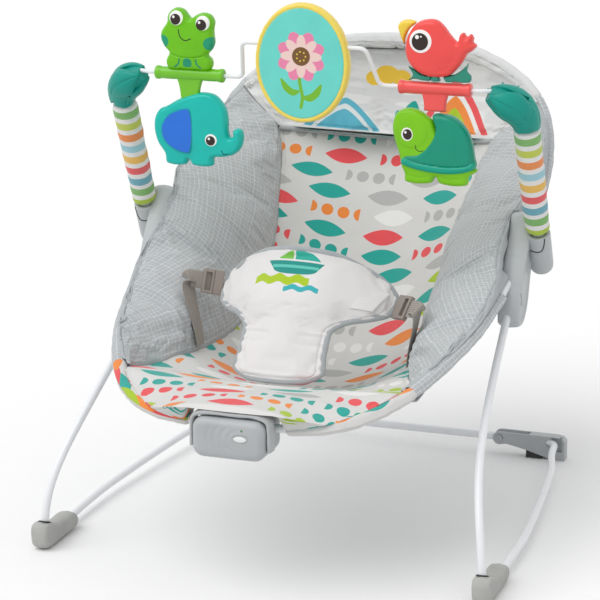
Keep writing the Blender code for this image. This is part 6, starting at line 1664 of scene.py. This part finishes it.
PARROT = [(-8, 67.4), (1, 67), (8.5, 61.2), (15, 53), (22, 47), (24, 54), (28, 56), (31, 52.5),
          (35, 55), (38, 51), (37.5, 47.5), (41, 44), (37, 39), (32.5, 36), (29, 30), (23, 21.5),
          (15, 14), (5, 11.5), (-6, 11.5), (-17, 15.5), (-25.5, 23), (-30, 34.5), (-29, 47),
          (-24, 57.5), (-17, 64.5)]
BEAK = [(-19.5, 64), (-25, 66), (-33, 65), (-38, 60), (-36.5, 53), (-34, 46), (-31.2, 41.5),
        (-30.4, 48), (-26.2, 57)]
TURTLE = [(-21.2, -20.4), (-13.8, -22.9), (-7.5, -27), (-1.2, -32), (3.1, -42), (10.4, -54),
          (22.1, -65), (35.8, -73), (43.7, -78), (35.8, -85), (33.7, -93), (6.2, -93), (2, -87),
          (-2.2, -93), (-28.6, -93), (-29.6, -85), (-32.8, -78), (-36, -64), (-40.2, -52),
          (-42.3, -38), (-38.4, -26), (-30.2, -20.9)]
SHELL = [(-1.7, -25.5), (12.6, -24.5), (23.1, -28.5), (33.1, -39), (38.4, -52), (41, -66),
         (42.6, -75), (35.8, -80), (10.4, -84), (-22.3, -80), (-33.3, -75), (-29.6, -66.5),
         (-14.9, -62.5), (-3.8, -52), (1.2, -40)]
TOY_HALF = 0.0070


def spot(x, z, radius, squeeze=1.0):
    """Above zero inside a circle given in millimetres; squeeze above 1 makes it narrower."""
    return lambda p: radius / 1000 - np.hypot((p[:, 0] - x / 1000) * squeeze, p[:, 1] - z / 1000)


def stroke(points, wide):
    """Above zero within half a width of a smooth line through points given in millimetres."""
    line = smooth_path(np.array(points, float) / 1000, 20)
    return lambda p: wide / 2000 - np.min([segment_distance(p, a, b)
                                           for a, b in zip(line[:-1], line[1:])], axis=0)


def area_ink(points, count=60):
    """Above zero inside a closed smooth outline given in millimetres."""
    line = smooth_path(np.array(points, float) / 1000, count, closed=True)
    return lambda p: distance_to(p, line)


def either(*inks):
    """Above zero where any of the inks is."""
    return lambda p: np.max([ink(p) for ink in inks], axis=0)


def dome(x, z, radius, height):
    """A low round swelling."""
    return lambda p: height * np.sqrt(np.clip(1 - np.hypot(p[:, 0] * 1000 - x, p[:, 1] * 1000 - z)**2
                                              / radius**2, 0, 1))


def groove(ink, depth, soft=0.0008):
    """A pressed line where an ink is above zero."""
    return lambda p: -depth * np.clip(ink(p) / soft + 0.5, 0, 1)


def total(*reliefs):
    """The sum of several reliefs."""
    return lambda p: sum(relief(p) for relief in reliefs)


def painted(name, base, colours, rough=0.30):
    """Glossy moulded plastic with painted marks."""
    f = Finish(name, rough, Coat_Weight=0.18, Coat_Roughness=0.10, Specular_IOR_Level=0.28)
    cloud = f.noise(38.0, detail=3.0)
    shown = f.mix(cloud, shaded(base, 0.95), shaded(base, 1.03))
    for label, colour in colours.items():
        shown = f.mix(f.edge(f.attribute(label), 0.00035), shown, colour)
    f.colour(shown)
    f.link(f.math("MULTIPLY_ADD", cloud, 0.10, rough - 0.05), "Roughness")
    f.bump(f.noise(1500.0, detail=1.0), 0.00005, 0.5)
    return f.material


def figure(name, outline, x, body, slot, finish, half=TOY_HALF, edge=0.0045, crown=0.0010, front=None,
           inks=None, y=SPIN_Y, nodes=None, count=260, step=0.00085):
    """One animal: a relief over its outline, hung on its toy's axis."""
    line = smooth_path(np.array(outline, float) / 1000, count, closed=True)
    piece = relief_piece(name, line, half, edge, step, (x, y, SPIN_Z), crown, front, inks)
    return done(piece, body, slot, finish, *(nodes or []))


DARK, EYE_WHITE = (45, 30, 26), (252, 252, 250)

# %% [markdown]
# ### Frog and elephant

# %% The left toy
frog_eyes = either(spot(-11.0, 57.0, 7.2), spot(17.2, 53.0, 7.2))
frog_pupils = either(spot(-11.6, 55.6, 5.5), spot(15.8, 51.2, 5.5))
frog_glints = either(spot(-13.6, 58.0, 1.4), spot(13.8, 53.6, 1.4))
frog_smile = stroke([(-8.6, 45.4), (-7.6, 40.0), (-5.2, 36.6), (-1.2, 34.8), (4.6, 36.8)], 1.1)
frog_cheeks = either(spot(-27.0, 32.6, 6.6, 0.9), spot(24.6, 32.2, 6.6, 0.9))
frog_belly = area_ink([(-3.2, 16.2), (3.2, 16.2), (4.2, 9.0), (-4.2, 9.0)], 40)
frog_lines = either(stroke([(-8.5, 15.5), (-9.5, 11), (-13.5, 7.5)], 1.6),
                    stroke([(9.0, 15.5), (10, 11), (14, 7.5)], 1.6))
frog_neck = stroke([(-22, 22.5), (-12, 18.5), (0, 17.6), (12, 18.5), (21, 22)], 1.4)
FROG_PLASTIC = painted("frog_paint", (112, 200, 8), {
    "belly": (24, 150, 110), "cheeks": (20, 160, 118), "smile": (32, 36, 30), "white": EYE_WHITE,
    "pupil": DARK, "glint": EYE_WHITE})
GREEN_PLASTIC = plastic("frog_green_plastic", (114, 200, 10), 0.32, coat=0.3)
figure("frog_skin", FROG, -TOY_X, "left_toy", "frog_green", FROG_PLASTIC, crown=0.0016,
       front=total(dome(-11.0, 57.0, 9.0, 0.0016), dome(17.2, 53.0, 9.0, 0.0016),
                   dome(-0.5, 36, 22, 0.0008), groove(frog_neck, 0.0012), groove(frog_lines, 0.0007)),
       inks={"white": frog_eyes, "pupil": frog_pupils, "glint": frog_glints, "smile": frog_smile,
             "cheeks": frog_cheeks, "belly": either(frog_belly, frog_lines)}, nodes=["frog"])
elephant_eye = spot(24.8, -64.4, 6.2)
ELEPHANT_PLASTIC = painted("elephant_paint", (12, 194, 182), {
    "smile": (24, 60, 80), "white": EYE_WHITE, "pupil": DARK, "glint": EYE_WHITE})
figure("elephant_skin", ELEPHANT, -TOY_X, "left_toy", "elephant_blue", ELEPHANT_PLASTIC,
       crown=0.0012,
       front=total(dome(14, -50, 26, 0.0008), dome(24.8, -64.4, 6.6, 0.0005)),
       inks={"white": elephant_eye, "pupil": spot(24.4, -65.0, 4.9), "glint": spot(22.8, -63.0, 1.3),
             "smile": stroke([(35.6, -74.6), (38.0, -78.4), (42.0, -77.6)], 1.0)}, nodes=["elephant"])
EAR_PLASTIC = painted("ear_paint", (38, 118, 226), {"rim": (26, 160, 172)})
ear_line = smooth_path(np.array(EAR, float) / 1000, 260, closed=True)
figure("elephant_ear_skin", EAR, -TOY_X, "left_toy", "ear_blue", EAR_PLASTIC, half=0.0014, edge=0.0010,
       crown=0.0002, y=SPIN_Y - TOY_HALF - 0.0011,
       inks={"rim": lambda p: 0.0009 - distance_to(p, ear_line)}, nodes=["elephant_ear"])

# %% [markdown]
# ### Tubes and stems
#
# A toy's tube is turned about the wire: flared ends and a bore. Its stem is a plate whose sides
# curve inwards, so that it grows out of the tube like a neck.

# %% Tubes of both toys
TOY_TUBE_R, TOY_TUBE_LENGTH = 0.0062, 0.0730
CORAL_PLASTIC = plastic("coral_plastic", (250, 84, 80), 0.32, coat=0.3)
for name, x, body, slot, finish, stem, half_top, half_low in (
        ("frog_tube", -TOY_X, "left_toy", "frog_green", GREEN_PLASTIC, 0.0300, 0.0150, 0.0100),
        ("bird_tube", TOY_X, "right_toy", "coral", CORAL_PLASTIC, 0.0218, 0.0150, 0.0112)):
    half = TOY_TUBE_LENGTH / 2
    profile = [(-half, 0.0028), (-half, 0.0056), (-half + 0.0006, 0.0066), (-half + 0.0018, 0.0070),
               (-half + 0.0042, 0.0068), (-half + 0.0060, TOY_TUBE_R)]
    profile += [(a, TOY_TUBE_R + 0.0001 * math.cos(a * 300))
                for a in np.linspace(-half + 0.008, half - 0.008, 14)]
    profile += [(-a, r) for a, r in profile[5::-1]]
    profile += [(half - 0.0004, 0.0026), (-half + 0.0004, 0.0026)]
    tube = turned(name + "_skin", lambda a, x=x: np.stack([x + a, 0 * a + SPIN_Y, 0 * a + SPIN_Z], -1),
                  profile, 1, 40)
    done(tube, body, slot, finish, name)
    t = np.linspace(0, 1, 24)
    side = half_low + (half_top - half_low) * (1 - t)**2.6
    z = -0.0030 - t * (stem - 0.0030)
    outline = np.concatenate([np.stack([side, z], 1), np.stack([-side, z], 1)[::-1]])
    outline = smooth_path(outline, 200, closed=True)
    neck = relief_piece(name + "_stem", outline, 0.0036, 0.0022, 0.0011, (x, SPIN_Y, SPIN_Z), 0.0002)
    done(neck, body, slot, finish)

# %% [markdown]
# ### Bird and turtle

# %% The right toy
BIRD_PLASTIC = painted("bird_paint", (252, 84, 80), {
    "white": EYE_WHITE, "pupil": DARK, "glint": EYE_WHITE})
feather = either(stroke([(6, 33), (9, 28), (14, 26)], 0.9), stroke([(13, 35), (16, 30), (21, 28)], 0.9),
                 stroke([(3, 24), (6, 20), (11, 18)], 0.9), stroke([(12, 23), (15, 19), (19, 19)], 0.9))
figure("bird_skin", PARROT, TOY_X, "right_toy", "coral", BIRD_PLASTIC, crown=0.0018, edge=0.0050,
       front=total(dome(-6, 42, 26, 0.0012), groove(feather, 0.0005), dome(-13.0, 46.8, 11.6, 0.0008)),
       inks={"white": spot(-13.0, 46.8, 11.2), "pupil": spot(-13.4, 46.4, 8.4),
             "glint": either(spot(-16.4, 50.8, 2.0), spot(-12.4, 51.4, 0.9))}, nodes=["bird"])
YELLOW_PLASTIC = plastic("beak_plastic", (252, 214, 60), 0.32, coat=0.3)
figure("bird_beak_skin", BEAK, TOY_X, "right_toy", "beak_yellow", YELLOW_PLASTIC, half=0.0050, edge=0.0030,
       crown=0.0006, nodes=["bird_beak"], count=180)
TEAL_PLASTIC = plastic("leaf_paint", (0, 142, 118), 0.34, coat=0.3)
for k, points in enumerate([
        [(-27.5, 20.5), (-21, 18.0), (-15, 14.0), (-8, 12.5), (-4.5, 14.0), (-4.5, 8.0), (-12, 7.2),
         (-21, 8.4), (-27, 7.0), (-23, 12.5)],
        [(35, 8.6), (28, 7.2), (20, 7.4), (10, 7.4), (8.0, 12.0), (12, 13.4), (20, 15.5), (27, 20.5),
         (33, 26.5), (32, 19), (36, 14)]]):
    figure(f"bird_leaf_{k}", points, TOY_X, "right_toy", "shell_teal", TEAL_PLASTIC, half=0.0030,
           edge=0.0016, crown=0.0004, count=160)
figure("bird_foot", [(-2.2, 13.5), (2.2, 13.5), (5.0, 8.0), (0, 6.8), (-5.0, 8.0)], TOY_X,
       "right_toy", "shell_teal", TEAL_PLASTIC, half=0.0042, edge=0.0016, crown=0.0004, count=80)
TURTLE_PLASTIC = painted("turtle_paint", (128, 206, 12), {
    "smile": (60, 84, 20), "white": EYE_WHITE, "pupil": DARK, "glint": EYE_WHITE})
toes = either(stroke([(-27, -85.5), (-12, -87.5), (-3, -85)], 1.0),
              stroke([(7, -85), (18, -87.5), (30, -85.5)], 1.0))
figure("turtle_skin", TURTLE, TOY_X, "right_toy", "turtle_green", TURTLE_PLASTIC, half=0.0064, crown=0.0014,
       front=total(dome(-22, -42, 17, 0.0014), groove(toes, 0.0006)),
       inks={"white": spot(-25.6, -45.0, 6.6, 1.12), "pupil": spot(-25.2, -45.2, 5.3, 1.12),
             "glint": spot(-27.2, -43.2, 1.3),
             "smile": stroke([(-17.0, -55.4), (-16.6, -59.4), (-12.6, -61.4), (-9.4, -60.6)], 1.0)},
       nodes=["turtle"])
SHELL_PLASTIC = painted("shell_paint", (0, 150, 122), {"rim": (0, 164, 138)})
shell_rim = stroke([(-32, -71.5), (-20, -76.0), (0, -78.6), (20, -79.0), (36, -76.5), (42, -73)], 7.4)
shell_line = stroke([(-30, -67.4), (-18, -71.8), (0, -74.4), (20, -74.8), (36, -72), (40, -68)], 1.0)
figure("turtle_shell_skin", SHELL, TOY_X, "right_toy", "shell_teal", SHELL_PLASTIC, half=0.0086,
       edge=0.0050, crown=0.0012,
       front=total(lambda p: 0.0012 * np.clip(shell_rim(p) / 0.0012, 0, 1), groove(shell_line, 0.0008)),
       inks={"rim": shell_rim}, nodes=["turtle_shell"])

# %% [markdown]
# ### Oval panel
#
# The panel turns on the middle of the wire. It is a yellow frame round a flat picture of a plain
# flower, whose petals are circles stretched outwards.

# %% The oval panel and its picture
FLIP_Y, FLIP_Z = 0.1250, 0.4980
OVAL_HALF_WIDTH, OVAL_HALF_HEIGHT, OVAL_DROP, OVAL_RIM = 0.0485, 0.0590, 0.0170, 0.0045


def place_oval(name, half_x, half_z, half, edge, y, crown, front=None, inks=None, step=0.0011):
    """A relief over an ellipse that hangs on the flip axis."""
    return relief_piece(name, ellipse(half_x, half_z, (0.0, -OVAL_DROP), 220), half, edge, step,
                        (0, y, FLIP_Z), crown, front, inks)


def oval_reach(p):
    """Depth below the rim of the oval."""
    return distance_to(p, ellipse(OVAL_HALF_WIDTH, OVAL_HALF_HEIGHT, (0.0, -OVAL_DROP), 220))


panel = place_oval("oval_panel_skin", OVAL_HALF_WIDTH, OVAL_HALF_HEIGHT, 0.0065, 0.0026, FLIP_Y, 0,
                   front=lambda p: -0.0008 * np.clip((oval_reach(p) - OVAL_RIM + 0.0003) / 0.0006, 0, 1))
OVAL_PLASTIC = plastic("oval_plastic", (253, 222, 92), 0.34, coat=0.25)
done(panel, "oval_toy", "oval_yellow", OVAL_PLASTIC, "oval_panel")

PINK, PALE_PINK, BROWN, STALK = (240, 138, 176), (246, 214, 206), (120, 84, 44), (122, 190, 48)
FLOWER = (0.0, -10.0)


def petal_ink(count, far, wide, turn):
    """Petals: circles stretched outwards round the flower's middle."""
    def value(p):
        x, z = p[:, 0] * 1000 - FLOWER[0], p[:, 1] * 1000 - FLOWER[1]
        best = np.full(len(p), -1.0)
        for k in range(count):
            a = math.radians(turn + 360 * k / count)
            u = x * math.cos(a) + z * math.sin(a) - far
            v = -x * math.sin(a) + z * math.cos(a)
            best = np.maximum(best, (1 - np.hypot(u / 8.6, v / wide)) * wide / 1000)
        return best
    return value


stalk = either(stroke([(0, -20), (-1.5, -34), (1.5, -50), (0, -60)], 3.4),
               area_ink([(1, -50), (10, -46), (21, -36), (19, -47), (9, -54)]),
               area_ink([(-1, -44), (-9, -42), (-21, -32), (-18, -43), (-8, -49)]))
seeds = either(*[spot(FLOWER[0] + 4.6 * math.cos(a), FLOWER[1] + 4.6 * math.sin(a), 0.9)
                 for a in np.arange(7) * 2 * math.pi / 7])
picture = place_oval("oval_picture_skin", OVAL_HALF_WIDTH - 0.0049, OVAL_HALF_HEIGHT - 0.0049, 0.0008,
                     0.0004, FLIP_Y - 0.0057, 0.0, step=0.0009,
                     inks={"stalk": stalk, "outer": petal_ink(8, 16.5, 6.6, 22.5),
                           "inner": petal_ink(8, 12.5, 4.6, 0.0), "middle": spot(*FLOWER, 9.2),
                           "seeds": seeds})
PICTURE = painted("picture_paint", (112, 222, 210), {"stalk": STALK, "outer": PINK, "inner": PALE_PINK,
                                                     "middle": BROWN, "seeds": (244, 210, 90)}, 0.36)
done(picture, "oval_toy", "picture_print", PICTURE, "oval_picture")

# %% [markdown]
# ### Toy wire
#
# One bent steel wire carries the toys. Its corners are joined by arcs, and both ends go into the
# leaf covers.

# %% The wire
RISER_OUT_X, RISER_IN_X, WIRE_END_X, WIRE_END_Y = 0.0710, 0.0635, 0.1920, 0.1560


def filleted(corners, radius, steps=8):
    """Straight runs between the corners, joined by arcs of one radius."""
    c = [np.array(p, float) for p in corners]
    out = [c[0]]
    for before, here, after in zip(c[:-2], c[1:-1], c[2:]):
        a = (before - here) / np.linalg.norm(before - here)
        b = (after - here) / np.linalg.norm(after - here)
        half = math.acos(float(np.clip(a @ b, -1, 1))) / 2
        reach = radius / math.tan(half)
        middle = here + (a + b) / np.linalg.norm(a + b) * radius / math.sin(half)
        start, end, turn = here + a * reach - middle, here + b * reach - middle, math.pi - 2 * half
        for s in np.linspace(0, 1, steps + 1):
            blend = math.sin((1 - s) * turn) * start + math.sin(s * turn) * end
            out.append(middle + blend / math.sin(turn))
    return np.array(out + [c[-1]])


wire_half = [(WIRE_END_X, WIRE_END_Y, SPIN_Z), (0.1720, SPIN_Y, SPIN_Z), (RISER_OUT_X, SPIN_Y, SPIN_Z),
             (RISER_IN_X, FLIP_Y, FLIP_Z)]
wire = filleted(wire_half + [(-x, y, z) for x, y, z in wire_half[::-1]], 0.0075)
bar("toy_wire_skin", wire, 0.0021, "toy_bar", "white_tube", WHITE_PAINT, sides=20, nodes=["toy_wire"])

# %% [markdown]
# ## Floor, light and camera
#
# The object stands on a white floor, lit from all round by a pale sky and from the front left by a
# broad sun. Floor and sky are brighter to the camera, and in gloss and glass, than they are as
# light, so they look white and the floor still keeps a soft shadow. The camera stands to the right
# of the front, a little above, with a long lens.

# %% Studio
def studio_floor(size=6.0):
    """A large flat square under the feet."""
    corner = np.array([[-1, -1], [1, -1], [1, 1], [-1, 1]]) * size
    points = np.column_stack([corner, np.full(4, -0.0004)])
    mesh = bpy.data.meshes.new("studio_floor")
    mesh.from_pydata(points.tolist(), [], [(0, 1, 2, 3)])
    floor = bpy.data.objects.new("studio_floor", mesh)
    scene.collection.objects.link(floor)
    f = Finish("studio_floor", 0.9)
    f.shader.inputs["Specular IOR Level"].default_value = 0.0
    ray = f.node("LightPath").outputs
    seen = f.math("MAXIMUM", f.math("MAXIMUM", ray["Is Camera Ray"], ray["Is Glossy Ray"]),
                  ray["Is Transmission Ray"])
    f.colour(f.mix(seen, (226, 226, 226), (255, 255, 255)))
    floor.data.materials.append(f.material)


def studio_light(sky=0.72, sun=1.15):
    """A white sky that lights from all sides, and a broad sun for soft shadows."""
    world = bpy.data.worlds.new("studio")
    scene.world = world
    world.use_nodes = True
    tree = world.node_tree
    back = tree.nodes["Background"]
    ray = tree.nodes.new("ShaderNodeLightPath").outputs
    seen = ray["Is Camera Ray"]
    for kind in ("Is Glossy Ray", "Is Transmission Ray"):
        either_one = tree.nodes.new("ShaderNodeMath")
        either_one.operation = "MAXIMUM"
        tree.links.new(seen, either_one.inputs[0])
        tree.links.new(ray[kind], either_one.inputs[1])
        seen = either_one.outputs[0]
    level = tree.nodes.new("ShaderNodeMapRange")
    tree.links.new(seen, level.inputs[0])
    level.inputs[3].default_value = sky
    level.inputs[4].default_value = 1.0
    back.inputs[0].default_value = (1, 1, 1, 1)
    tree.links.new(level.outputs[0], back.inputs[1])
    lamp = bpy.data.lights.new("key", "SUN")
    lamp.energy = sun
    lamp.angle = math.radians(50)
    key = bpy.data.objects.new("key", lamp)
    key.rotation_euler = Vector((0.45, 0.55, -1.0)).to_track_quat("-Z", "Y").to_euler()
    scene.collection.objects.link(key)


def photo_camera(place=(0.781, -2.333, 0.884), turn=19.09, down=15.0, focal=2485.5, frame_px=600):
    """The camera from its place, its turn to the left, its pitch and its focal length in pixels."""
    data = bpy.data.cameras.new("photo_camera")
    data.sensor_fit = "HORIZONTAL"
    data.sensor_width = 36.0
    data.lens = focal / frame_px * 36.0
    data.clip_end = 50
    camera = bpy.data.objects.new("photo_camera", data)
    camera.location = place
    camera.rotation_euler = (math.radians(90 - down), 0, math.radians(turn))
    scene.collection.objects.link(camera)
    scene.camera = camera


studio_floor()
studio_light()
photo_camera()
scene.view_settings.view_transform = "Standard"
